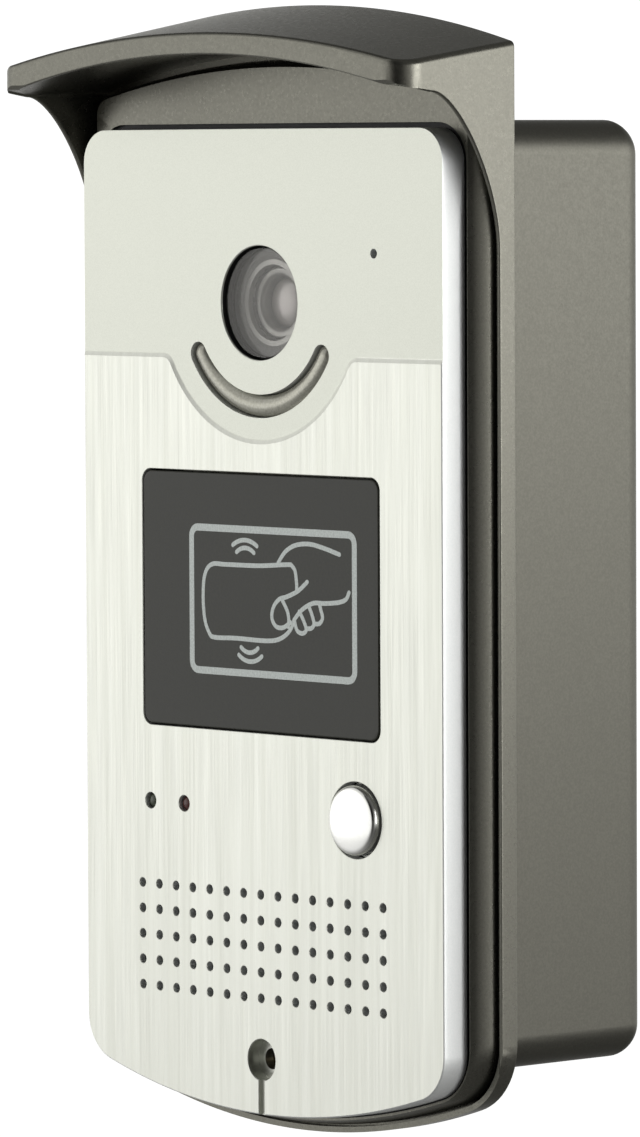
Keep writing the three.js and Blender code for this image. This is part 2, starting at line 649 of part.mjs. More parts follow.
// status lights
for (const [i, colour] of ['green', 'red'].entries()) {
  const x = LIGHT_X[i];
  add(`light_pipe_${colour}`, turned([
    [0, 0.25], [1.1, 0.25], [1.1, 6.7], [2, 6.7], [2, 7.5], [1.1, 7.5], [1.1, 12], [0, 12],
  ], x, LIGHT_Z, 8), colour);
  add(`status_lamp_${colour}`, block(x - 1.5, x + 1.5, 12.3, MAIN_BOARD.front - GAP, LIGHT_Z - 1, LIGHT_Z + 1), colour);
}

// speaker and microphone
add('speaker_gasket', ring(SPEAKER.radius, 13.2, 6.7, 7.7, 0, SPEAKER.z), 'rubber');
add('speaker_frame', turned([
  [12.8, 8], [SPEAKER.radius, 8], [SPEAKER.radius, 9.2], [13, 9.2], [8.4, 13.2], [5, 13.2], [5, 12.4],
  [7.9, 12.4], [12.2, 9], [12.8, 9], [12.8, 8],
], 0, SPEAKER.z), 'steel');
add('speaker_cone', turned([
  [0, 9.6], [3, 10.3], [4.4, 10.9], [12.2, 8.1], [12.2, 8.6], [4.4, 11.8], [0, 11.8],
], 0, SPEAKER.z), 'paper');
add('speaker_magnet', rod(8, 13.5, 18, 0, SPEAKER.z), 'steel');
add('microphone_boot', turned([
  [1, 6.7], [4.5, 6.7], [4.5, 11], [3.3, 11], [3.3, 7.5], [1, 7.5], [1, 6.7],
], MICROPHONE.x, MICROPHONE.z, 16), 'rubber');
add('microphone', rod(3, 7.8, 10.7, MICROPHONE.x, MICROPHONE.z, 16), 'steel');

export default panel;
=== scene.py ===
"""Looks of the door intercom panel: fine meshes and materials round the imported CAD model.

Lengths are in millimetres in the drawing functions and in metres in Blender. A place is given by x, z and
a depth, which counts from the front plate's flat face towards the wall.
"""
import json
from math import atan2, cos, hypot, pi, radians, sin, sqrt

import bmesh
import bpy
from mathutils import Matrix, Vector
from mathutils.geometry import delaunay_2d_cdt


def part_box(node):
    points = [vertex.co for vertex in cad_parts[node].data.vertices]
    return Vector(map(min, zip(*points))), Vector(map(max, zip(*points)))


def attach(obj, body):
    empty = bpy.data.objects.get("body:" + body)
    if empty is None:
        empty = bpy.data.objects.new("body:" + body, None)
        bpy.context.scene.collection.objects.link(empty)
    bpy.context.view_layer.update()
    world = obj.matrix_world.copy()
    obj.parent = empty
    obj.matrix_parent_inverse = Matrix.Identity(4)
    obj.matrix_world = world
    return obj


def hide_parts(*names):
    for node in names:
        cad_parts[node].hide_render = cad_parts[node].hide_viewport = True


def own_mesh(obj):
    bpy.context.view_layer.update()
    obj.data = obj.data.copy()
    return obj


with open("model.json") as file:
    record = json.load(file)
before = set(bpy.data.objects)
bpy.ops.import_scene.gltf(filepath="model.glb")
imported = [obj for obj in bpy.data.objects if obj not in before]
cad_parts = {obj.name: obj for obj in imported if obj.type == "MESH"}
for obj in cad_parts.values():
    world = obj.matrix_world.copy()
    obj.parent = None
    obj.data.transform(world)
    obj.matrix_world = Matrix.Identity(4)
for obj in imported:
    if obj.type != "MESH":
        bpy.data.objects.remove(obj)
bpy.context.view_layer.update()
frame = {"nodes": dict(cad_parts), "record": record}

MM = 0.001
SAME_PLACE, SLIVER = 0.0002 * MM, 0.004 * MM
BITE = 0.4  # how far a piece reaches into the one it is joined to


def box_mm(node):
    """A CAD node's lowest and highest corner in millimetres."""
    low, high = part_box(node)
    return low / MM, high / MM


def centre_mm(node):
    low, high = box_mm(node)
    middle = (low + high) / 2
    return middle.x, middle.z


WALL_TO_FACE = -box_mm("front_plate")[0].y


def at(depth):
    return (depth - WALL_TO_FACE) * MM


# ---- loops: lists of (x, z) in millimetres

def arc(x, z, radius, start, end, steps):
    angles = [start + (end - start) * i / steps for i in range(steps + 1)]
    return [(x + radius * cos(a), z + radius * sin(a)) for a in angles]


def quarter_turn(steps):
    """Angles from nothing to a right angle."""
    return [pi / 2 * i / steps for i in range(steps + 1)]


def chain(*arcs):
    """Arcs that run on into each other share their end points."""
    points = list(arcs[0])
    for run in arcs[1:]:
        points += run[1:]
    return points


def circle(x, z, radius, steps=48):
    return arc(x, z, radius, 0, 2 * pi, steps)[:-1]


def rect(half, low, high, radius, x=0.0, steps=8):
    right, left, quarter = x + half - radius, x - half + radius, pi / 2
    return [
        *arc(right, high - radius, radius, 0, quarter, steps),
        *arc(left, high - radius, radius, quarter, 2 * quarter, steps),
        *arc(left, low + radius, radius, 2 * quarter, 3 * quarter, steps),
        *arc(right, low + radius, radius, 3 * quarter, 4 * quarter, steps),
    ]


def arched_end(half, high, arch, corner):
    """A panel's upper end from right to left: an arched edge between two round corners."""
    x, centre, corner_steps, arch_steps = half - corner, high - arch, 14, 56
    rise = sqrt((arch - corner) ** 2 - x ** 2)
    angle, turn = atan2(rise, x), pi
    return chain(
        arc(x, centre + rise, corner, 0, angle, corner_steps),
        arc(0, centre, arch, angle, turn - angle, arch_steps),
        arc(-x, centre + rise, corner, turn - angle, turn, corner_steps),
    )


def panel(outline, grow=0.0):
    """Upright sides, arched top and bottom edges and rounded corners, grown outwards by grow."""
    size = {key: value + grow for key, value in outline.items()}
    upper = arched_end(size["half"], size["top"], size["top_arch"], size["top_corner"])
    lower = arched_end(size["half"], grow - outline["bottom"], size["bottom_arch"], size["bottom_corner"])
    return upper + [(-x, -z) for x, z in lower]


def smile(half_width):
    """A round-ended slot along an arc that hangs below its centre."""
    down = -pi / 2
    left, right = down - SMILE["half_angle"], down + SMILE["half_angle"]
    z, radius = SMILE["z"], SMILE["radius"]
    ends = {a: (radius * cos(a), z + radius * sin(a)) for a in (left, right)}
    return chain(
        arc(0, z, radius + half_width, left, right, 48),
        arc(*ends[right], half_width, right, right + pi, 12),
        arc(0, z, radius - half_width, right, left, 48),
        arc(*ends[left], half_width, left + pi, left + 2 * pi, 12),
    )[1:]


def well(grow=0.0):
    """The casing's rear well: a rectangle with a square notch at each corner."""
    half, top, bottom, notch_x, notch_z = (WELL[k] for k in ("half", "top", "bottom", "notch_x", "notch_z"))
    x, nx, high, high_notch = half + grow, notch_x + grow, top + grow, notch_z + grow
    low, low_notch = bottom - grow, -notch_z - grow
    return [
        (nx, low), (nx, low_notch), (x, low_notch), (x, high_notch), (nx, high_notch), (nx, high),
        (-nx, high), (-nx, high_notch), (-x, high_notch), (-x, low_notch), (-nx, low_notch), (-nx, low),
    ]


# ---- driving sizes: the CAD model's, but for the box's rounding and the ceiling near the lip

PLATE = dict(half=46.5, top=79.1, bottom=-90.95, top_arch=20000, bottom_arch=137,
             top_corner=5.5, bottom_corner=8.0)
PLATE_DRAFT, PLATE_SKIN, PLATE_REAR, RIM_WALL = 0.3, 2.2, 5.2, 1.4
STEP_Z, STEP_DEPTH = 40.5, 0.25
TAB = dict(z=51.9, radius=26.0, fillet=3.0)
SMILE = dict(z=50.5, radius=18.9, half_width=2.03, half_angle=radians(58))
GRILLE = dict(columns=15, rows=5, pitch=4.5, top=-52.9, radius=0.8)
LOCK = dict(z=-81.6, head=3.55, floor=2.5, hole=1.85, slot=1.5, slot_floor=0.7)

CASING = dict(half=48.3, top=90.0, bottom=-92.0, top_arch=205, bottom_arch=138,
              top_corner=3.0, bottom_corner=9.9)
GROOVE = dict(half=48.05, top=80.3, bottom=-91.55, top_arch=20000, bottom_arch=137.6,
              top_corner=7.0, bottom_corner=9.5)
CASING_FRONT, CASING_WALL, CASING_REAR = 4.6, 1.8, 8.6
WELL = dict(half=44.0, top=76.0, bottom=-76.5, notch_x=36.5, notch_z=68.5)
WELL_REAR = 25.1

SHROUD = dict(half=53.0, top=100.7, bottom=-94.3, top_arch=203, bottom_arch=142,
              top_corner=1.2, bottom_corner=12.5)
SHROUD_WALL = 1.0
VISOR = dict(front=-14.4, top=95.7, arch=245, corner=4.5)
CEILING = dict(top=92.6, lip_top=92.0, arch=208, blend=14.0)
CHEEK = dict(start=-8.0, start_z=85.2, end=7.5, end_z=58.6)
FLANGE_FRONT, FLANGE_REAR = 9.9, 11.2

BOX = dict(half=49.0, half_height=80.6, corner=6.0, round_x=1.2, round_z=2.8, wall=2.4, front=11.5)
BOX_POST = dict(x=42.0, z=74.0, radius=4.0)
WALL_HOLE = dict(x=24.0, z=58.0, radius=2.25)
COVER_POST = dict(x=38.5, z=62.0, radius=3.25)
BOARD_POST = dict(x=35.5, low=-30.0, high=26.0, radius=2.75)
PLATE_SCREWS = [(-30, 70), (30, 70), (-36, -79.6), (36, -79.6)]
SCREW_HOLE, SHROUD_HOLE = 1.6, 1.7

CAMERA = centre_mm("camera_window")
WINDOW_RADIUS = (box_mm("camera_window")[1].x - box_mm("camera_window")[0].x) / 2
MICROPHONE = centre_mm("microphone")
BUTTON = centre_mm("call_button")
LIGHTS = [centre_mm("light_pipe_green"), centre_mm("light_pipe_red")]
GROMMET = centre_mm("cable_grommet")
SPEAKER_Z = centre_mm("speaker_gasket")[1]


def pairs(x, *heights):
    """A place on each side of the middle at every height."""
    return [(side * x, z) for z in heights for side in (-1, 1)]


LOCK_PLACE = (0, LOCK["z"])
SHROUD_POSTS = pairs(BOX_POST["x"], -BOX_POST["z"], BOX_POST["z"])
COVER_POSTS = pairs(COVER_POST["x"], -COVER_POST["z"], COVER_POST["z"])
BOARD_POSTS = pairs(BOARD_POST["x"], BOARD_POST["low"], BOARD_POST["high"])
WALL_HOLES = pairs(WALL_HOLE["x"], -WALL_HOLE["z"], WALL_HOLE["z"])


# ---- mesh building

def inside(point, loop):
    x, z = point
    odd = False
    for (x1, z1), (x2, z2) in zip(loop, loop[1:] + loop[:1]):
        if (z1 > z) != (z2 > z) and x < (x2 - x1) * (z - z1) / (z2 - z1) + x1:
            odd = not odd
    return odd


class Shell:
    """A closed surface put together from strips between loops and flat caps across them."""

    def __init__(self):
        self.mesh = bmesh.new()
        self.slot = 0

    def ring(self, points):
        """New vertices at (x, depth, z) points."""
        return [self.mesh.verts.new((x * MM, at(depth), z * MM)) for x, depth, z in points]

    def level(self, loop, depth):
        return self.ring([(x, depth, z) for x, z in loop])

    def face(self, verts):
        self.mesh.faces.new(verts).material_index = self.slot

    def bridge(self, rings):
        """Walls between rings of equal count."""
        for near, far in zip(rings, rings[1:]):
            for i in range(len(near)):
                j = (i + 1) % len(near)
                self.face((near[i], near[j], far[j], far[i]))

    def strip(self, *loops):
        """Walls between loops of equal count, each given as (loop, depth)."""
        self.bridge([self.level(*placed) for placed in loops])

    def loft(self, rings):
        """A skin over rings of (x, depth, z) points, with a face across each end."""
        made = [self.ring(points) for points in rings]
        self.bridge(made)
        self.face(made[0])
        self.face(made[-1][::-1])

    def cap(self, depth, outer, *holes):
        """The flat region between an outer loop and its holes."""
        points, edges = [], []
        for loop in (outer, *holes):
            first = len(points)
            points += [Vector(p) for p in loop]
            edges += [(first + i, first + (i + 1) % len(loop)) for i in range(len(loop))]
        found, _, faces, *_ = delaunay_2d_cdt(points, edges, [], 0, 1e-7)
        verts = self.level([tuple(p) for p in found], depth)
        spans = [(min(x for x, _ in h), max(x for x, _ in h), min(z for _, z in h), max(z for _, z in h), h)
                 for h in holes]
        for face in faces:
            x, z = sum((found[i] for i in face), Vector((0.0, 0.0))) / len(face)
            in_hole = any(
                x0 < x < x1 and z0 < z < z1 and inside((x, z), h) for x0, x1, z0, z1, h in spans
            )
            if not in_hole and inside((x, z), outer):
                self.face([verts[i] for i in face])

    def tunnel(self, loops_at, *offsets_and_depths):
        """A hole's wall: loops_at(offset) gives the loop at each (offset, depth)."""
        self.strip(*[(loops_at(offset), depth) for offset, depth in offsets_and_depths])

    def plain(self, name, *materials):
        """The surface as an object of the scene, not yet shaded."""
        bmesh.ops.recalc_face_normals(self.mesh, faces=self.mesh.faces)
        mesh = bpy.data.meshes.new(name)
        self.mesh.to_mesh(mesh)
        self.mesh.free()
        for material in materials:
            mesh.materials.append(material)
        return place_in_scene(name, mesh)

    def object(self, name, *materials, sharp=32):
        bmesh.ops.remove_doubles(self.mesh, verts=self.mesh.verts, dist=SAME_PLACE)
        made = self.plain(name, *materials)
        soften(made, sharp)
        return made


def place_in_scene(name, data):
    made = bpy.data.objects.new(name, data)
    bpy.context.scene.collection.objects.link(made)
    return made


def soften(piece, sharp):
    """Clears away slivers, then shades the piece smoothly: the shading breaks where the surface turns by more
    than sharp degrees, and flats stay flat."""
    mesh = bmesh.new()
    mesh.from_mesh(piece.data)
    bmesh.ops.remove_doubles(mesh, verts=mesh.verts, dist=SLIVER)
    bmesh.ops.dissolve_degenerate(mesh, edges=mesh.edges, dist=SLIVER)
    bmesh.ops.holes_fill(mesh, edges=[edge for edge in mesh.edges if edge.is_boundary], sides=12)
    for face in mesh.faces:
        face.smooth = True
    for edge in mesh.edges:
        edge.smooth = len(edge.link_faces) == 2 and edge.calc_face_angle(0) < radians(sharp)
    mesh.to_mesh(piece.data)
    mesh.free()
    weigh = piece.modifiers.new("weigh", "WEIGHTED_NORMAL")
    weigh.keep_sharp = True
    weigh.weight = 100
    apply_modifiers(piece)


def apply_modifiers(piece):
    """Bake the piece's modifiers into its mesh."""
    bpy.context.view_layer.update()
    graph = bpy.context.evaluated_depsgraph_get()
    mesh = bpy.data.meshes.new_from_object(piece.evaluated_get(graph))
    piece.modifiers.clear()
    piece.data = mesh


def boolean(piece, operation, *tools):
    for tool in tools:
        step = piece.modifiers.new(operation, "BOOLEAN")
        step.operation = operation
        step.solver = "EXACT"
        step.object = tool
        apply_modifiers(piece)
        bpy.data.objects.remove(tool)
    return piece


def solid(name, levels, *materials):
    """Walls between loops of equal count, each given as (loop, depth), with a cap across each end."""
    shell = Shell()
    (first, front), (last, rear) = levels[0], levels[-1]
    shell.cap(front, first)
    shell.strip(*levels)
    shell.cap(rear, last)
    return shell.object(name, *materials)


def turned(name, profile, place, *materials, steps=48):
    """A profile of (radius, depth) points turned about an axis along the depth, with flat ends if open."""
    loops = [(circle(*place, max(radius, 0.01), steps), depth) for radius, depth in profile]
    shell = Shell()
    shell.strip(*loops)
    if profile[0] != profile[-1]:
        for loop, depth in (loops[0], loops[-1]):
            shell.cap(depth, loop)
    return shell.object(name, *materials)


def plug(name, radius, front, rear, place, steps=48):
    return turned(name, [(0, front), (radius, front), (radius, rear), (0, rear)], place, steps=steps)


def tube(outer, inner, front, bottom, rear):
    """A post with a blind hole from the rear, as (radius, depth) points."""
    return [(0, front), (outer, front), (outer, rear), (inner, rear), (inner, bottom), (0, bottom)]


def disc_rim(front, rear, radius, edge):
    """The rim of a disc with both edges rounded, as (radius, depth) points."""
    turn = [(radius - edge * (1 - sin(t)), edge * (1 - cos(t))) for t in quarter_turn(4)]
    return [(r, front + d) for r, d in turn] + [(r, rear - d) for r, d in turn[::-1]]


# ---- materials

def shader(name, color, metallic=0.0, roughness=0.5, **extra):
    material = bpy.data.materials.new(name)
    material.use_nodes = True
    surface = surface_of(material)
    surface.inputs["Base Color"].default_value = (*color, 1)
    surface.inputs["Metallic"].default_value = metallic
    surface.inputs["Roughness"].default_value = roughness
    for key, value in extra.items():
        surface.inputs[key.replace("_", " ")].default_value = value
    return material


def node(owner, kind, **settings):
    """A shader node in a material or a world, with sockets and properties set by name."""
    made = owner.node_tree.nodes.new(kind)
    for key, value in settings.items():
        if key in made.inputs:
            made.inputs[key].default_value = value
        else:
            setattr(made, key, value)
    return made


def link(owner, source, target):
    owner.node_tree.links.new(source, target)


def surface_of(material):
    return material.node_tree.nodes["Principled BSDF"]


def combine(owner, operation, first, second):
    made = node(owner, "ShaderNodeMath", operation=operation)
    link(owner, first, made.inputs[0])
    link(owner, second, made.inputs[1])
    return made.outputs[0]


def own_place(material, cells, upright=None):
    """The piece's own coordinates, in cells to the metre; upright is the count along z where it differs."""
    place = node(material, "ShaderNodeTexCoord")
    scale = node(material, "ShaderNodeMapping", Scale=(cells, cells, upright or cells))
    link(material, place.outputs["Object"], scale.inputs["Vector"])
    return scale.outputs["Vector"]


def grain(material, cells, upright=None, detail=3.0, rough=0.5):
    noise = node(material, "ShaderNodeTexNoise", Scale=1.0, Detail=detail, Roughness=rough)
    link(material, own_place(material, cells, upright), noise.inputs["Vector"])
    return noise.outputs["Fac"]


def spread(material, source, low, high, from_low=0.3, from_high=0.7):
    step = node(material, "ShaderNodeMapRange")
    for key, value in zip(("From Min", "From Max", "To Min", "To Max"), (from_low, from_high, low, high)):
        step.inputs[key].default_value = value
    link(material, source, step.inputs["Value"])
    return step.outputs["Result"]


def tint(material, source, dark, light):
    mix = node(material, "ShaderNodeMix", data_type="RGBA")
    mix.inputs[6].default_value = (*dark, 1)
    mix.inputs[7].default_value = (*light, 1)
    link(material, source, mix.inputs[0])
    link(material, mix.outputs[2], surface_of(material).inputs["Base Color"])


def roughen(material, source, low, high):
    link(material, spread(material, source, low, high), surface_of(material).inputs["Roughness"])


def bump(material, source, height, previous=None):
    step = node(material, "ShaderNodeBump", Strength=1.0, Distance=height * MM)
    link(material, source, step.inputs["Height"])
    if previous:
        link(material, previous, step.inputs["Normal"])
    link(material, step.outputs["Normal"], surface_of(material).inputs["Normal"])
    return step.outputs["Normal"]


def gunmetal_paint(name, tone, roughness):
    """Satin metallic paint: fine flakes and a slight orange peel."""
    color = (0.205 * tone, 0.2 * tone, 0.17 * tone)
    paint = shader(name, color, metallic=0.9, roughness=roughness)
    flakes = grain(paint, 2600, detail=2.0)
    dark, light = (tuple(c * share for c in color) for share in (0.93, 1.07))
    tint(paint, spread(paint, flakes, 0, 1, 0.35, 0.68), dark, light)
    roughen(paint, grain(paint, 1500), roughness - 0.04, roughness + 0.05)
    peel = bump(paint, grain(paint, 900), 0.004)
    bump(paint, flakes, 0.001, peel)
    return paint


def brushed_aluminium():
    """Anodised aluminium brushed upright: fine streaks over a slower drift."""
    metal = shader("brushed_aluminium", (0.78, 0.79, 0.74), metallic=1.0, roughness=0.34)
    fine = grain(metal, 5200, 45, detail=4.0, rough=0.6)
    broad = grain(metal, 900, 14, detail=3.0)
    both = combine(metal, "ADD", fine, broad)
    tint(metal, spread(metal, both, 0, 1, 0.7, 1.3), (0.71, 0.72, 0.65), (0.82, 0.83, 0.765))
    roughen(metal, fine, 0.28, 0.44)
    bump(metal, fine, 0.008)
    return metal


def blasted_aluminium():
    """Bead-blasted and anodised: an even, very fine matt grain."""
    metal = shader("blasted_aluminium", (0.77, 0.78, 0.72), metallic=1.0, roughness=0.46)
    beads = grain(metal, 5500, detail=2.0)
    tint(metal, spread(metal, beads, 0, 1), (0.785, 0.8, 0.717), (0.845, 0.86, 0.777))
    roughen(metal, grain(metal, 2600), 0.45, 0.47)
    bump(metal, beads, 0.004)
    return metal


def satin_rim_painted_light():
    """The plate's milled side, anodised without brushing; its near-white tone is painted light that makes the
    side read bright.
    """
    metal = shader("satin_rim_painted_light", (0.92, 0.94, 0.93), metallic=0.6, roughness=0.5)
    fine = grain(metal, 3200, detail=2.0)
    tint(metal, spread(metal, fine, 0, 1), (0.93, 0.95, 0.94), (0.98, 0.99, 0.98))
    roughen(metal, fine, 0.46, 0.54)
    bump(metal, fine, 0.003)
    return metal


def polished(name, color, roughness, scuff):
    """Bare or plated metal with faint scuffs."""
    metal = shader(name, color, metallic=1.0, roughness=roughness)
    marks = grain(metal, 1400, detail=5.0)
    roughen(metal, marks, roughness * 0.8, roughness + scuff)
    bump(metal, marks, 0.002)
    return metal


def moulded(name, color, roughness=0.5, texture=0.004, cells=2500, **extra):
    """Moulded plastic or rubber with a fine spark texture."""
    dark = tuple(c * 0.85 for c in color)
    light = tuple(min(1.0, c * 1.15) for c in color)
    plastic = shader(name, color, roughness=roughness, **extra)
    spark = grain(plastic, cells, detail=2.0)
    tint(plastic, spread(plastic, spark, 0, 1), dark, light)
    roughen(plastic, spark, roughness * 0.9, min(1.0, roughness * 1.1))
    bump(plastic, spark, texture)
    return plastic


def smoked_window():
    """A thin, faintly mirrored smoked pane that lets the camera show through."""
    glass = shader("smoked_glass", (0.5, 0.49, 0.47), metallic=0.5, Alpha=0.16, IOR=1.6)
    roughen(glass, grain(glass, 120, detail=3.0), 0.06, 0.1)
    return glass


def coated_lens():
    """Coated glass: a warm mirror tint that drifts a little."""
    glass = shader("coated_lens", (0.62, 0.58, 0.55), metallic=0.8, roughness=0.34,
                   Coat_Weight=1.0, Coat_Roughness=0.05)
    drift = grain(glass, 260, detail=1.0)
    tint(glass, spread(glass, drift, 0, 1), (0.6, 0.55, 0.53), (0.67, 0.63, 0.6))
    return glass


def circuit_board():
    """Solder mask over a faint pattern of tracks."""
    board = shader("circuit_board", (0.02, 0.12, 0.06), roughness=0.35, Coat_Weight=0.3)
    tracks = node(board, "ShaderNodeTexVoronoi", Scale=1.0, distance="MANHATTAN", feature="F1")
    link(board, own_place(board, 420), tracks.inputs["Vector"])
    distance = tracks.outputs["Distance"]
    tint(board, spread(board, distance, 0, 1, 0.5, 0.56), (0.03, 0.17, 0.08), (0.015, 0.1, 0.05))
    bump(board, distance, 0.01)
    return board


GUNMETAL = gunmetal_paint("gunmetal_paint", 0.91, 0.3)
# The back box takes the shroud's paint at a darker tone and a little rougher.
BOX_PAINT = gunmetal_paint("box_paint", 0.73, 0.38)
BRUSHED = brushed_aluminium()
BLASTED = blasted_aluminium()
# The plate's side and the walls of its openings: a near-white tone, painted light.
RIM = satin_rim_painted_light()
CHROME = polished("polished_chrome", (0.82, 0.82, 0.79), 0.12, 0.05)
STEEL = polished("zinc_steel", (0.62, 0.62, 0.6), 0.3, 0.12)
BRASS = polished("turned_brass", (0.62, 0.48, 0.24), 0.25, 0.12)
COPPER = polished("enamelled_copper", (0.7, 0.33, 0.16), 0.3, 0.1)
SMOKED = smoked_window()
LENS = coated_lens()
DARK_WINDOW = moulded("dark_window", (0.049, 0.05, 0.036), 0.32, 0.002, 1800, IOR=1.42)
PRINT = moulded("printed_lines", (0.6, 0.64, 0.62), 0.45, 0.002, metallic=0.6)
DIFFUSER = moulded("grey_diffuser", (0.58, 0.57, 0.485), 0.16, 0.0005, metallic=0.4)
BLACK = moulded("black_plastic", (0.018, 0.018, 0.018), texture=0.01)
BARREL = polished("barrel_grey", (0.5, 0.49, 0.46), 0.42, 0.05)
SEAT = moulded("seat_grey", (0.3, 0.3, 0.28))
RUBBER = moulded("black_rubber", (0.02, 0.02, 0.02), 0.8, 0.02, 1600)
BOARD = circuit_board()
GREEN = moulded("green_plastic", (0.16, 0.26, 0.14), 0.3)
RED = moulded("red_plastic", (0.35, 0.08, 0.06), 0.3)
BLUE = moulded("blue_plastic", (0.05, 0.16, 0.38), 0.35)
PAPER = moulded("paper_cone", (0.03, 0.03, 0.03), 0.95, 0.04, 1200)
GREEN_LIGHT = moulded("green_light_pipe", (0.12, 0.14, 0.09), 0.2, 0.002)
RED_LIGHT = moulded("red_light_pipe", (0.16, 0.05, 0.04), 0.2, 0.002)

SLOT_MATERIAL = {
    "gunmetal_paint": GUNMETAL, "satin_aluminium": BRUSHED, "polished_chrome": CHROME, "zinc_steel": STEEL,
    "brass": BRASS, "smoked_window": SMOKED, "lens_glass": LENS, "grey_diffuser": DIFFUSER,
    "black_plastic": BLACK, "black_rubber": RUBBER, "circuit_board": BOARD, "copper_winding": COPPER,
    "green_plastic": GREEN, "red_plastic": RED, "blue_plastic": BLUE, "paper_cone": PAPER,
}


def keep(piece, body, slot, *nodes):
    """The piece rides on a body and stands for CAD nodes, which it hides; slot is not used."""
    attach(piece, body)
    if nodes:
        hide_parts(*nodes)
    return piece


# ---- front plate

def plate_side():
    """The plate's side: a crisp crease at the face, then a small draft, as (grow, depth)."""
    return [(0.0, 0.0), (0.08, 0.04), (0.16, 0.12), (0.22, 0.25), (0.26, 0.45), (0.28, 0.8),
            (PLATE_DRAFT, 1.6), (PLATE_DRAFT, PLATE_REAR)]


def grille_places():
    half = (GRILLE["columns"] - 1) / 2
    return [((column - half) * GRILLE["pitch"], GRILLE["top"] - row * GRILLE["pitch"])
            for row in range(GRILLE["rows"]) for column in range(GRILLE["columns"])]


def drain_slot():
    """The shallow slot that runs from the lock's recess to the plate's lower edge."""
    def loop(grow):
        half, low = LOCK["slot"] / 2 + grow, PLATE["bottom"] - 3
        return [(-half, low), (half, low), (half, LOCK["z"]), (-half, LOCK["z"])]

    levels = [(0.12, -1.0), (0.12, 0.0), (0, 0.12), (0, LOCK["slot_floor"])]
    return solid("drain_slot", [(loop(grow), depth) for grow, depth in levels])


def upper_field(grow):
    """The blasted field above the step line, with its round tab under the smile; grow moves its edge out."""
    line = STEP_Z - grow
    radius, fillet = TAB["radius"] + grow, TAB["fillet"] - grow
    drop = TAB["z"] - (line - fillet)
    reach = sqrt((radius + fillet) ** 2 - drop ** 2)
    angle = atan2(drop, reach)
    side, high = 60.0, 100.0
    return [
        (-side, line),
        *arc(-reach, line - fillet, fillet, pi / 2, angle, 8),
        *arc(0, TAB["z"], radius, pi + angle, 2 * pi - angle, 64)[1:-1],
        *arc(reach, line - fillet, fillet, pi - angle, pi / 2, 8),
        (side, line), (side, high), (-side, high),
    ]


def front_plate():
    chamfer, gap = 0.12, 0.3
    post_front, post_rear, beyond = PLATE_SKIN - BITE, 4.3, 6
    outer = [(panel(PLATE, grow), depth) for grow, depth in plate_side()]
    pocket = panel(PLATE, PLATE_DRAFT - RIM_WALL)
    card_low, card_high = (corner.z for corner in box_mm("card_window"))
    openings = [(lambda g, x=x, z=z: circle(x, z, GRILLE["radius"] + g, 20)) for x, z in grille_places()]
    openings += [
        lambda g: smile(SMILE["half_width"] + g),
        lambda g: circle(*MICROPHONE, 0.85 + g, 24),
        lambda g: rect(31 + g, card_low - gap - g, card_high + gap + g, 2.2 + g, steps=10),
        lambda g: circle(*LIGHTS[0], 1.4 + g, 28),
        lambda g: circle(*LIGHTS[1], 1.4 + g, 28),
        lambda g: circle(*BUTTON, 6.6 + g, 64),
    ]
    shell = Shell()
    shell.slot = 3
    shell.strip(*outer)
    shell.slot = 0
    edge = 0.2
    camera_edge = [(edge + 0.02, 0.0)]
    camera_edge += [(edge * (1 - sin(t)), 0.3 + edge * (1 - cos(t))) for t in quarter_turn(6)]
    camera = [(circle(*CAMERA, WINDOW_RADIUS + gap + grow, 72), depth) for grow, depth in camera_edge]
    shell.cap(0, outer[0][0], camera[0][0], *[make(chamfer) for make in openings])
    shell.cap(PLATE_SKIN, pocket, camera[-1][0], *[make(0) for make in openings])
    shell.strip((pocket, PLATE_SKIN), (pocket, PLATE_REAR))
    shell.cap(PLATE_REAR, outer[-1][0], pocket)
    for make in openings:
        shell.slot = 0
        shell.tunnel(make, (chamfer, 0), (chamfer * 0.3, chamfer * 0.3), (0, chamfer))
        shell.slot = 3
        shell.tunnel(make, (0, chamfer), (0, PLATE_SKIN))
    shell.slot = 0
    shell.strip(*camera[:3])
    shell.strip(*camera[2:])
    # Below its rounded lip the camera hole's wall takes the black material: painted shade inside the hole.
    shell.slot = 2
    shell.strip(camera[-1], (camera[-1][0], PLATE_SKIN))
    plate = shell.object("front_plate_skin", BRUSHED, BLASTED, BLACK, RIM)

    boolean(plate, "UNION", plug("lock_boss", 5.2, post_front, post_rear, LOCK_PLACE))
    for i, place in enumerate(PLATE_SCREWS):
        boolean(plate, "UNION", plug(f"post_{i}", 3, post_front, post_rear, place, steps=32))
        boolean(plate, "DIFFERENCE", plug(f"post_hole_{i}", SCREW_HOLE, 2.5, beyond, place, steps=24))

    ramp = [(1.2, -1.0), (1.05, -0.06), (0.72, 0.04), (0.2, STEP_DEPTH - 0.04), (0, STEP_DEPTH)]
    field = solid("field", [(upper_field(grow), depth) for grow, depth in ramp])
    head, hole, floor, rounding = LOCK["head"], LOCK["hole"], LOCK["floor"], 0.15
    recess = turned("lock_recess", [
        (0, -1), (head + rounding, -1), (head + rounding, 0), (head, rounding), (head, floor),
        (hole, floor), (hole, beyond), (0, beyond),
    ], LOCK_PLACE, steps=64)
    boolean(plate, "DIFFERENCE", field, recess, drain_slot())
    for face in plate.data.polygons:
        at_step = abs(face.center.y - at(STEP_DEPTH)) < 0.02 * MM and face.normal.y < -0.9
        in_field = face.center.z > (STEP_Z - 15) * MM
        if face.material_index == 0 and at_step and in_field:
            face.material_index = 1
    soften(plate, 16)
    return keep(plate, "panel", "satin_aluminium", "front_plate")


# ---- casing

def casing_loop(grow):
    """The casing's outline; grow moves its sides out, and its top and bottom edges by less."""
    return panel({
        **CASING, "half": CASING["half"] + grow, "top": CASING["top"] + 0.5 * grow,
        "bottom": CASING["bottom"] - 0.35 * grow, "bottom_corner": CASING["bottom_corner"] + 0.8 * grow,
    })


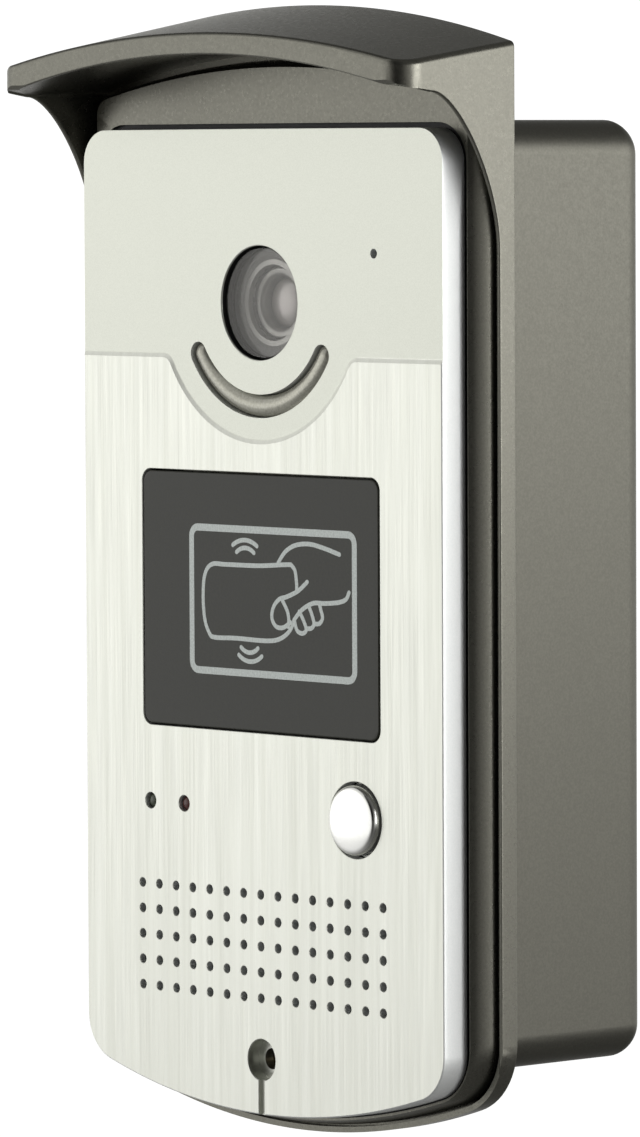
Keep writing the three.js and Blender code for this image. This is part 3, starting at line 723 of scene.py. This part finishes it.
def front_casing():
    slope = [(-0.12, 4.6), (-0.03, 4.64), (0.06, 4.74), (0.5, 5.08), (0.93, 5.5), (1.33, 5.97), (1.7, 6.48),
             (2.02, 7.0), (2.27, 7.48), (2.45, 7.9), (2.56, 8.27), (2.6, CASING_REAR)]
    outer = [(casing_loop(grow), depth) for grow, depth in slope]
    floor, step, back = PLATE_REAR + 0.3, 7.2, CASING_FRONT + CASING_WALL
    groove_outer, groove_inner = panel(GROOVE), panel(PLATE, PLATE_DRAFT - RIM_WALL - 0.4)
    skirt = panel({**CASING, "half": 48.6, "top": 89.2, "bottom": -90.7})
    rim_inner = panel(PLATE, -2.5)
    openings = [
        smile(SMILE["half_width"]), circle(*MICROPHONE, 1.2, 20), circle(*BUTTON, 7.8, 40),
        circle(*LIGHTS[0], 1.6, 20), circle(*LIGHTS[1], 1.6, 20), circle(0, SPEAKER_Z, 13, 48),
        circle(0, LOCK["z"], 2.2, 24), circle(*CAMERA, 6.6, 48),
        *[circle(x, z, SCREW_HOLE, 16) for x, z in PLATE_SCREWS],
    ]
    shell = Shell()
    shell.strip(*outer)
    shell.cap(CASING_FRONT, outer[0][0], groove_outer)
    # The groove round the plate, walls and floor, takes the black material: painted shade in the gap between
    # plate and casing.
    shell.slot = 1
    shell.strip((groove_outer, CASING_FRONT), (groove_outer, floor))
    shell.cap(floor, groove_outer, groove_inner)
    shell.strip((groove_inner, floor), (groove_inner, CASING_FRONT))
    shell.slot = 0
    shell.cap(CASING_FRONT, groove_inner, *openings)
    for loop in openings:
        shell.strip((loop, CASING_FRONT), (loop, back))
    shell.cap(CASING_REAR, outer[-1][0], skirt)
    shell.strip((skirt, CASING_REAR), (skirt, step))
    shell.cap(step, skirt, rim_inner)
    shell.strip((rim_inner, step), (rim_inner, back))
    shell.cap(back, rim_inner, *openings)
    casing = shell.object("casing_bezel", GUNMETAL, BLACK)

    walls, root = Shell(), back - 0.3
    for loop in (well(), well(-CASING_WALL)):
        walls.strip((loop, root), (loop, WELL_REAR))
    for depth in (root, WELL_REAR):
        walls.cap(depth, well(), well(-CASING_WALL))
    parts = [walls.object("well")]
    cover_post = tube(COVER_POST["radius"], SCREW_HOLE, root, 15, WELL_REAR)
    board_post = tube(BOARD_POST["radius"], SCREW_HOLE, root, 8, 13.7)
    for name, profile, places in (("cover", cover_post, COVER_POSTS), ("board", board_post, BOARD_POSTS)):
        parts += [turned(f"{name}_post_{i}", profile, place, steps=24) for i, place in enumerate(places)]
    low, high = box_mm("card_window")
    pad_rear, pad_inset = CASING_FRONT + BITE, 0.8
    pad = rect(30, low.z + pad_inset, high.z - pad_inset, 2)
    parts.append(solid("card_pad", [(pad, 1.9), (pad, pad_rear)]))
    bore, rim, seat = 6.6, WINDOW_RADIUS - 0.2, 2.9
    parts.append(turned("camera_collar", [
        (bore, 3.6), (7.5, 3.6), (8.2, seat), (rim, seat), (rim, pad_rear), (bore, pad_rear), (bore, 3.6),
    ], CAMERA))
    boolean(casing, "UNION", *parts)
    slot, barrel_edge = len(casing.data.materials), 7.45
    for material in (BARREL, SEAT):
        casing.data.materials.append(material)
    for face in casing.data.polygons:
        from_camera = (Vector((face.center.x, face.center.z)) / MM - Vector(CAMERA)).length
        if from_camera < WINDOW_RADIUS and at(2.5) < face.center.y < at(CASING_FRONT):
            face.material_index = slot if from_camera < barrel_edge else slot + 1
    soften(casing, 30)
    return keep(casing, "panel", "gunmetal_paint", "front_casing")


# ---- rain shroud

def hood(depth):
    """The shroud's outline at a depth: the roof falls forwards and the front corners are round."""
    share = (FLANGE_REAR - depth) / (FLANGE_REAR - VISOR["front"])
    from_front = min(depth - VISOR["front"], VISOR["corner"])
    inset = VISOR["corner"] - sqrt(VISOR["corner"] ** 2 - (VISOR["corner"] - from_front) ** 2)
    outline = dict(SHROUD)
    outline["half"] -= inset
    outline["top"] += (VISOR["top"] - SHROUD["top"]) * share
    outline["top_arch"] += (VISOR["arch"] - SHROUD["top_arch"]) * share
    return outline


def room(depth, inset=0.0, grow=0.0):
    """The space inside the shroud at a depth; its ceiling falls a little towards the visor's lip."""
    rearward = min(1.0, max(0.0, (depth - VISOR["front"]) / CEILING["blend"]))
    top = CEILING["lip_top"] + (CEILING["top"] - CEILING["lip_top"]) * rearward
    return panel({
        **SHROUD, "half": SHROUD["half"] - SHROUD_WALL - inset, "bottom": SHROUD["bottom"] + SHROUD_WALL,
        "top": top, "top_arch": CEILING["arch"], "bottom_corner": SHROUD["bottom_corner"] - SHROUD_WALL,
    }, grow)


def cheek_edge(offset):
    """The cheeks' edge in (depth, z), from the visor down to the foot, moved into the metal by offset."""
    front, low = VISOR["front"], SHROUD["bottom"] - 5
    start, start_z, end, end_z = CHEEK.values()
    knots = [(start, start_z), (-2.2, start_z + 0.3), (end, end_z + 12), (end, end_z)]
    lead_in = [(-5, 86.9), (0.05, 86.9), (0.15, 86.6), (0.4, 86.3), (0.8, 86.1), (1.5, 86.0)]
    edge = [(front + depth, z) for depth, z in lead_in]
    for i in range(25):
        t = i / 24
        weights = ((1 - t) ** 3, 3 * t * (1 - t) ** 2, 3 * t * t * (1 - t), t ** 3)
        edge.append(tuple(sum(w * k[axis] for w, k in zip(weights, knots)) for axis in (0, 1)))
    edge.append((end, low))
    moved = []
    for i, (depth, z) in enumerate(edge):
        (d0, z0), (d1, z1) = edge[max(i - 1, 0)], edge[min(i + 1, len(edge) - 1)]
        length = hypot(d1 - d0, z1 - z0)
        moved.append((depth + offset * (z0 - z1) / length, z + offset * (d1 - d0) / length))
    return moved + [(front - 5, low)]


def cheek_cutter():
    """Everything in front of the cheeks' edge; it flares at both faces of a cheek, which rounds the edge."""
    inner, outer = SHROUD["half"] - SHROUD_WALL, SHROUD["half"]
    flare = [(inner - 3, 0.3), (inner, 0.3), (inner + 0.07, 0.14), (inner + 0.18, 0.04), (inner + 0.35, 0),
             (outer - 0.35, 0), (outer - 0.18, 0.04), (outer - 0.07, 0.14), (outer, 0.3), (outer + 5, 0.3)]
    stations = [(-x, offset) for x, offset in flare[::-1]] + flare
    shell = Shell()
    shell.loft([[(x, depth, z) for depth, z in cheek_edge(offset)] for x, offset in stations])
    return shell.plain("cheek_cutter")


def rain_shroud():
    front, corner, rear = VISOR["front"], VISOR["corner"], FLANGE_REAR
    lip = [(-0.5, 0), (-0.3, 0.06), (-0.14, 0.19), (-0.04, 0.36), (0, 0.5)]
    rolled = [corner * (1 - cos(t)) for t in quarter_turn(12)]
    sections = [(front + depth, grow) for grow, depth in lip]
    sections += [(front + c, 0) for c in rolled if c > 0.55] + [(d, 0) for d in (-6, -2, 2, 6, rear - 0.4)]
    sections += [(rear - 0.15, -0.08), (rear - 0.03, -0.22), (rear, -0.4)]
    levels = [(panel(hood(depth), grow), depth) for depth, grow in sections]
    shroud = solid("shroud_casting", levels, GUNMETAL)

    inner_corner = corner - SHROUD_WALL
    mouth = [(0.4, -2), (0.4, 0), (0.2, 0.06), (0.06, 0.2), (0, 0.4)]
    rooms = [(room(front + depth, inner_corner, grow), front + depth) for grow, depth in mouth]
    for t in quarter_turn(8):
        depth = front + SHROUD_WALL + inner_corner * (1 - cos(t))
        rooms.append((room(depth, inner_corner * (1 - sin(t))), depth))
    rooms += [(room(depth), depth) for depth in (-6, -3, 0, FLANGE_FRONT)]
    boolean(shroud, "DIFFERENCE", solid("room", rooms), cheek_cutter())
    opening = well(0.6)
    boolean(shroud, "DIFFERENCE", solid("well_opening", [(opening, FLANGE_FRONT - 1), (opening, rear + 1)]))
    holes = [plug(f"hole_{i}", SHROUD_HOLE, 5, 20, place, steps=20) for i, place in enumerate(SHROUD_POSTS)]
    bore, seat, outside, boss_front, boss_rear = SCREW_HOLE, 3, 4.4, 7, rear - BITE
    boss = turned("lock_boss", [
        (bore, boss_rear), (bore, FLANGE_FRONT), (seat, FLANGE_FRONT), (seat, boss_front),
        (outside, boss_front), (outside, boss_rear), (bore, boss_rear),
    ], LOCK_PLACE)
    boolean(shroud, "DIFFERENCE", *holes)
    boolean(shroud, "UNION", boss)
    boolean(shroud, "DIFFERENCE", plug("lock_bore", bore, 6, 20, LOCK_PLACE))
    soften(shroud, 25)
    return keep(shroud, "panel", "gunmetal_paint", "rain_shroud")


# ---- back box

def back_box():
    half, height = BOX["half"], BOX["half_height"]

    def outline(share):
        x, z = half - BOX["round_x"] * share, height - BOX["round_z"] * share
        return rect(x, -z, z, BOX["corner"] - BOX["round_z"] * share, steps=12)

    round_z, wall = BOX["round_z"], BOX["wall"]
    outer = [(outline(0), BOX["front"])]
    outer += [(outline(1 - cos(t)), WALL_TO_FACE - round_z * (1 - sin(t))) for t in quarter_turn(10)]
    cavity = rect(half - wall, wall - height, height - wall, 3.6, steps=8)
    floor = WALL_TO_FACE - wall
    holes = [circle(*place, WALL_HOLE["radius"], 24) for place in WALL_HOLES]
    holes.append(circle(*GROMMET, 9, 48))
    shell = Shell()
    shell.strip(*outer)
    shell.cap(WALL_TO_FACE, outer[-1][0], *holes)
    for loop in holes:
        shell.strip((loop, WALL_TO_FACE), (loop, floor))
    shell.cap(floor, cavity, *holes)
    shell.strip((cavity, floor), (cavity, BOX["front"]))
    shell.cap(BOX["front"], outer[0][0], cavity)
    casting = shell.object("box_casting", BOX_PAINT)
    profile = tube(BOX_POST["radius"], SHROUD_HOLE, floor + BITE, 26, BOX["front"])
    posts = [turned(f"box_post_{i}", profile, place, steps=28) for i, place in enumerate(SHROUD_POSTS)]
    boolean(casting, "UNION", *posts)
    soften(casting, 30)
    return keep(casting, "panel", "gunmetal_paint", "back_box")


# ---- small visible pieces

def call_button():
    """A polished cap, nearly flat with a rolled edge, its flange and its stem."""
    radius, front, bow, roll = 6.1, -1.4, 0.3, 1.1
    shares = [sin(t) for t in quarter_turn(28)]
    dome = [(radius * s, front + bow * s ** 2 + roll * s ** 30) for s in shares]
    flange = [(radius, 2.6), (7.1, 2.6), (7.3, 2.8), (7.3, 3.4), (7.1, 3.6)]
    stem = [(2.5, 3.6), (2.5, 8.0), (2.3, 8.2), (0, 8.2)]
    button = turned("button_cap", dome + flange + stem, BUTTON, CHROME, steps=96)
    return keep(button, "call_button", "polished_chrome", "call_button")


def button_spring():
    """A helical spring between the button's flange and its guide."""
    turns, radius, wire, front, rear = 2.5, 3.9, 0.28, 4.3, 6.3
    (x, z), steps, sides = BUTTON, 120, 10
    section = circle(0, 0, wire, sides)
    rings = []
    for i in range(steps + 1):
        angle, depth = 2 * pi * turns * i / steps, front + (rear - front) * i / steps
        rings.append([
            (x + (radius + out) * cos(angle), depth + along, z + (radius + out) * sin(angle))
            for out, along in section
        ])
    shell = Shell()
    shell.loft(rings)
    spring = shell.object("return_spring", STEEL, sharp=50)
    keep(spring, "panel", "zinc_steel", "button_spring")
    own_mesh(spring)
    return spring


def camera():
    """The smoked window with a dark edge, and the lens barrel behind it."""
    low, high = (WALL_TO_FACE + v.y for v in box_mm("camera_window"))
    rim = disc_rim(low, high, WINDOW_RADIUS, 0.15)
    window = turned("camera_glass", [(0, low), *rim, (0, high)], CAMERA, SMOKED, BLACK, steps=96)
    for face in window.data.polygons:
        if abs(face.normal.y) < 0.5:
            face.material_index = 1
    keep(window, "panel", "smoked_window", "camera_window")
    bore, outside, rear = 4.6, 6.2, 10.7
    barrel = turned("lens_barrel", [
        (bore, 5.6), (4.9, 5.15), (5.2, 5.0), (5.9, 5.0), (outside, 5.3), (outside, rear), (bore, rear),
        (bore, 5.6),
    ], CAMERA, BARREL, steps=72)
    keep(barrel, "panel", "black_plastic", "camera_barrel")
    radius, front, bulge, flat = 4.2, 5.9, 1.1, 9.5
    bowl = [(radius * sin(t), front + bulge * (1 - cos(t))) for t in quarter_turn(10)]
    lens = turned("front_lens", [*bowl, (radius, flat), (0, flat)], CAMERA, LENS, steps=72)
    keep(lens, "panel", "lens_glass", "camera_lens")


def light_guide():
    """The smile: a crowned translucent bar set just below the blasted field."""
    half, shoulder, rise, rear = SMILE["half_width"] - 0.15, 1.75, 1.25, 6.9
    crown = [(half * cos(t), shoulder - rise * sin(t)) for t in quarter_turn(12)]
    rings = [(smile(max(width, 0.05)), depth) for width, depth in crown[::-1]]
    guide = solid("smile_guide", [*rings, (smile(half), rear)], DIFFUSER)
    return keep(guide, "panel", "grey_diffuser", "light_guide")


def light_pipes():
    radius, collar = 1.2, 2
    dome = [(radius * sin(t), 0.85 - 0.5 * cos(t)) for t in quarter_turn(8)]
    profile = [*dome, (radius, 6.7), (collar, 6.7), (collar, 7.5), (radius, 7.5), (radius, 12), (0, 12)]
    for place, name, material in zip(LIGHTS, ("green", "red"), (GREEN_LIGHT, RED_LIGHT)):
        pipe = turned(f"pipe_{name}", profile, place, material, steps=40)
        keep(pipe, "panel", f"{name}_plastic", f"light_pipe_{name}")


def cable_grommet():
    """A moulded rubber ring with a rounded lip inside the box."""
    floor, rear = WALL_TO_FACE - BOX["wall"], WALL_TO_FACE - 0.2
    seat, front, neck = floor - 0.3, floor - 2.2, 8.7
    lip = [(10.4 + 0.6 * sin(t), front + 0.6 * (1 - cos(t))) for t in quarter_turn(5)]
    throat = [(5.8 - 0.8 * sin(t), front + 0.8 * (1 - cos(t))) for t in quarter_turn(5)]
    foot = [(11, seat), (neck, seat), (neck, rear), (5.4, rear), (5, rear - 0.4)]
    profile = [*lip, *foot, *throat[::-1], lip[0]]
    grommet = turned("entry_grommet", profile, GROMMET, RUBBER, steps=64)
    return keep(grommet, "panel", "black_rubber", "cable_grommet")


# ---- card window and its picture

def smooth_run(points, steps=8):
    """A smooth run through given points (Catmull-Rom)."""
    ends = [points[0], *points, points[-1]]
    run = []
    for a, b, c, d in zip(ends, ends[1:], ends[2:], ends[3:]):
        for i in range(steps):
            t = i / steps
            run.append(tuple(
                0.5 * (2 * q + (r - p) * t + (2 * p - 5 * q + 4 * r - s) * t * t
                       + (3 * q - p - 3 * r + s) * t ** 3)
                for p, q, r, s in zip(a, b, c, d)
            ))
    return run + [points[-1]]


def stroke(name, run, width, closed=False):
    """A printed line of even width with round ends, a hair proud of the window."""
    points = [Vector(p) for p in run]
    count = len(points)
    left, right = [], []
    for i, p in enumerate(points):
        before = points[i - 1] if i or closed else p
        after = points[(i + 1) % count] if i < count - 1 or closed else p
        along = (after - before).normalized()
        across = Vector((-along.y, along.x)) * width / 2
        left.append(tuple(p + across))
        right.append(tuple(p - across))
    front, rear = -0.02, 0.05
    if closed:
        shell = Shell()
        shell.strip((left, front), (left, rear), (right, rear), (right, front), (left, front))
        return shell.object(name, PRINT)

    def end(p, q):
        """Half a circle from one side of the line to the other."""
        middle = (Vector(p) + Vector(q)) / 2
        start = atan2(p[1] - middle.y, p[0] - middle.x)
        return arc(middle.x, middle.y, width / 2, start, start - pi, 6)[1:-1]

    loop = left + end(left[-1], right[-1]) + right[::-1] + end(right[0], left[0])
    return solid(name, [(loop, front), (loop, rear)], PRINT)


def wave(x, z, radius, half_angle, rise):
    """An arc whose middle is at x and z; it bends down from there when rise is 1, up when it is -1."""
    middle, spread_angle = pi / 2 * rise, radians(half_angle)
    return arc(x, z - rise * radius, radius, middle - spread_angle, middle + spread_angle, 12)


def card_picture():
    """A plain picture in a frame: a hand holds a card to the reader."""
    frame_centre, frame_z = 3.4, -2.15
    lines = [("frame", rect(21.2, frame_z - 12.5, frame_z + 12.4, 1.6, x=frame_centre, steps=6), 1.25, True)]
    drop = 0.5
    card = [
        (8.3, 5.1), (6.0, 5.0), (0.0, 4.6), (-8.5, 4.5), (-12.4, 4.4), (-14.3, 2.6), (-14.8, -1.2),
        (-14.4, -5.2), (-13.2, -7.6), (-11.8, -8.3), (-6.0, -8.2), (2.0, -8.3), (5.6, -7.7), (8.0, -6.2),
        (9.1, -4.3),
    ]
    thumb = [
        (12.5, 2.3), (10.2, 0.7), (7.4, -0.4), (5.2, -1.0), (3.7, -2.4), (3.3, -4.3), (4.4, -5.7),
        (6.3, -5.8), (8.1, -4.8),
    ]
    strokes = [
        card,
        [(8.3, 5.1), (9.3, 4.2), (9.7, 2.4), (9.8, 0.8)],
        [(5.0, 5.3), (6.9, 7.3), (9.6, 8.5), (13.2, 8.8), (17.0, 8.2), (20.8, 7.3)],
        thumb,
        [(6.1, -1.2), (7.3, -2.9), (7.7, -4.4), (7.5, -5.6)],
        [(23.2, 0.9), (22.4, -0.3), (20.4, -0.9), (17.1, -1.2), (14.0, -1.3), (11.2, -2.5), (9.1, -4.3)],
        [(9.1, -4.3), (9.8, -6.1), (11.2, -6.6), (12.2, -5.9), (11.4, -4.2), (10.4, -2.9)],
        [(12.2, -5.7), (13.5, -5.6), (14.2, -4.8), (13.6, -3.1), (12.8, -1.8)],
        [(14.2, -4.8), (15.6, -4.7), (16.4, -3.7), (16.0, -2.4), (15.6, -1.3)],
    ]
    strokes = [[(x, z - drop) for x, z in points] for points in strokes]
    lines += [(f"hand_{i}", smooth_run(points), 0.8, False) for i, points in enumerate(strokes)]
    arcs = [
        wave(-3.7, 8.4, 5.8, 33, 1), wave(-3.6, 7.05, 3.7, 38, 1),
        wave(-2.6, -11.05, 3.3, 42, -1), wave(-2.4, -12.6, 4.9, 38, -1),
    ]
    lines += [(f"wave_{i}", run, 0.8, False) for i, run in enumerate(arcs)]
    pieces = [stroke(f"picture_{name}", run, width, closed) for name, run, width, closed in lines]
    picture = pieces[0]
    boolean(picture, "UNION", *pieces[1:])
    picture.name = "card_picture"
    picture.data.materials.clear()
    picture.data.materials.append(PRINT)
    return keep(picture, "panel", "smoked_window")


def card_window():
    low, high = box_mm("card_window")
    half, corner, edge, rear = (high.x - low.x) / 2, 2.0, 0.25, 1.6
    rings = []
    for t in quarter_turn(5):
        inset = edge * (1 - sin(t))
        loop = rect(half - inset, low.z + inset, high.z - inset, corner - inset, steps=10)
        rings.append((loop, edge * (1 - cos(t))))
    window = solid("reader_window", [*rings, (rings[-1][0], rear)], DARK_WINDOW)
    keep(window, "panel", "smoked_window", "card_window")
    card_picture()


# ---- stage, lights and camera

def studio():
    """A pale floor, a surround that is dim overhead and in front of the panel, and three soft boxes."""
    drop = 1.5
    reach, low = 30 * drop, -drop
    mesh = bpy.data.meshes.new("floor")
    corners = [(-reach, -reach, low), (reach, -reach, low), (reach, reach, low), (-reach, reach, low)]
    mesh.from_pydata(corners, [], [(0, 1, 2, 3)])
    pale = shader("pale_floor", (0.3, 0.3, 0.29), roughness=0.9)
    place = node(pale, "ShaderNodeTexCoord")
    away = node(pale, "ShaderNodeVectorMath", operation="SUBTRACT")
    away.inputs[1].default_value = (1.3 * drop, drop, -drop)
    length = node(pale, "ShaderNodeVectorMath", operation="LENGTH")
    link(pale, place.outputs["Object"], away.inputs[0])
    link(pale, away.outputs["Vector"], length.inputs[0])
    outwards = node(pale, "ShaderNodeVectorMath", operation="NORMALIZE")
    link(pale, place.outputs["Object"], outwards.inputs[0])
    far = spread(pale, length.outputs["Value"], 0.04, 0.92, 1.54 * drop, 6.67 * drop)
    glow = combine(pale, "MULTIPLY", far, dim_in_front(pale, outwards.outputs["Vector"]))
    path = node(pale, "ShaderNodeLightPath")
    shown = combine(pale, "MAXIMUM", path.outputs["Is Camera Ray"], glow)
    link(pale, shown, surface_of(pale).inputs["Emission Strength"])
    surface_of(pale).inputs["Emission Color"].default_value = (1, 1, 1, 1)
    mesh.materials.append(pale)
    floor = place_in_scene("floor", mesh)

    world = bpy.data.worlds.new("studio")
    bpy.context.scene.world = world
    world.use_nodes = True
    world.node_tree.nodes.clear()
    place = node(world, "ShaderNodeTexCoord")
    split = node(world, "ShaderNodeSeparateXYZ")
    link(world, place.outputs["Generated"], split.inputs[0])
    height = falloff(world, split.outputs["Z"], [
        (0.0, 1.07), (0.1, 1.0), (0.22, 0.52), (0.4, 0.25), (0.6, 0.12), (1.0, 0.12),
    ])
    lit = node(world, "ShaderNodeBackground", Color=(1.0, 1.0, 0.97, 1))
    strength = combine(world, "MULTIPLY", height, dim_in_front(world, place.outputs["Generated"]))
    link(world, strength, lit.inputs["Strength"])
    seen = node(world, "ShaderNodeBackground", Color=(1, 1, 1, 1), Strength=1.1)
    path = node(world, "ShaderNodeLightPath")
    mix = node(world, "ShaderNodeMixShader")
    out = node(world, "ShaderNodeOutputWorld")
    link(world, path.outputs["Is Camera Ray"], mix.inputs[0])
    link(world, lit.outputs[0], mix.inputs[1])
    link(world, seen.outputs[0], mix.inputs[2])
    link(world, mix.outputs[0], out.inputs["Surface"])

    soft_box("key_left", (-1.2, -1.3, 0.62), (1.6, 2.1), 5.8)
    soft_box("right_rear", (0.5, 0.36, 0.16), (0.45, 0.35), 0.72)
    soft_box("right_fill", (0.9, 0.14, 0.15), (0.5, 0.6), 3.1)
    bpy.context.scene.view_settings.view_transform = "Standard"


def dim_in_front(owner, direction):
    """The surround's brightness by direction in the room: dark in front and a little to the right."""
    forwards = node(owner, "ShaderNodeVectorMath", operation="DOT_PRODUCT")
    forwards.inputs[1].default_value = (0.259, -0.966, 0)
    link(owner, direction, forwards.inputs[0])
    return falloff(owner, forwards.outputs["Value"], [
        (0.0, 1.0), (0.47, 0.97), (0.68, 0.5), (0.8, 0.3), (0.92, 0.04), (1.0, 0.0),
    ])


def falloff(owner, source, stops):
    """A brightness curve over 0 to 1, through (position, value) stops."""
    made = node(owner, "ShaderNodeValToRGB")
    elements = made.color_ramp.elements
    while len(elements) < len(stops):
        elements.new(1.0)
    for i, (position, value) in enumerate(stops):
        elements[i].position = position
        elements[i].color = (value, value, value, 1)
    link(owner, source, made.inputs["Fac"])
    return made.outputs["Color"]


def soft_box(name, place, size, power):
    light = bpy.data.lights.new(name, "AREA")
    light.shape = "RECTANGLE"
    light.size, light.size_y = size
    light.energy = power
    lamp = place_in_scene(name, light)
    lamp.location = place
    lamp.rotation_mode = "QUATERNION"
    lamp.rotation_quaternion = (-Vector(place)).to_track_quat("-Z", "Y")


def photo_camera():
    """Seen from the right and a little above, through a long lens."""
    place = Vector((0.95546, -0.88062, 0.0748))
    yaw, pitch, roll = (radians(a) for a in (-48.32, -3.21, -0.26))
    ahead = Vector((sin(yaw) * cos(pitch), cos(yaw) * cos(pitch), sin(pitch)))
    level = Vector((cos(yaw), -sin(yaw), 0))
    above = level.cross(ahead)
    right = level * cos(roll) + above * sin(roll)
    up = above * cos(roll) - level * sin(roll)
    data = bpy.data.cameras.new("camera")
    data.sensor_width = 36
    data.lens = 233.45
    data.clip_start, data.clip_end = 0.05, 60
    view = place_in_scene("camera", data)
    view.matrix_world = Matrix.Translation(place) @ Matrix((right, up, -ahead)).transposed().to_4x4()
    bpy.context.scene.camera = view


# ---- the whole

def dress_cad_nodes():
    """Every carried CAD node takes its slot's material."""
    slots = {s["node"]: s["material_slot"] for s in frame["record"]["subparts"]}
    for name, cad in frame["nodes"].items():
        cad.data.materials.clear()
        cad.data.materials.append(SLOT_MATERIAL[slots[name]])


photo_camera()
studio()
dress_cad_nodes()
front_plate()
front_casing()
rain_shroud()
back_box()
call_button()
button_spring()
camera()
light_guide()
light_pipes()
cable_grommet()
card_window()
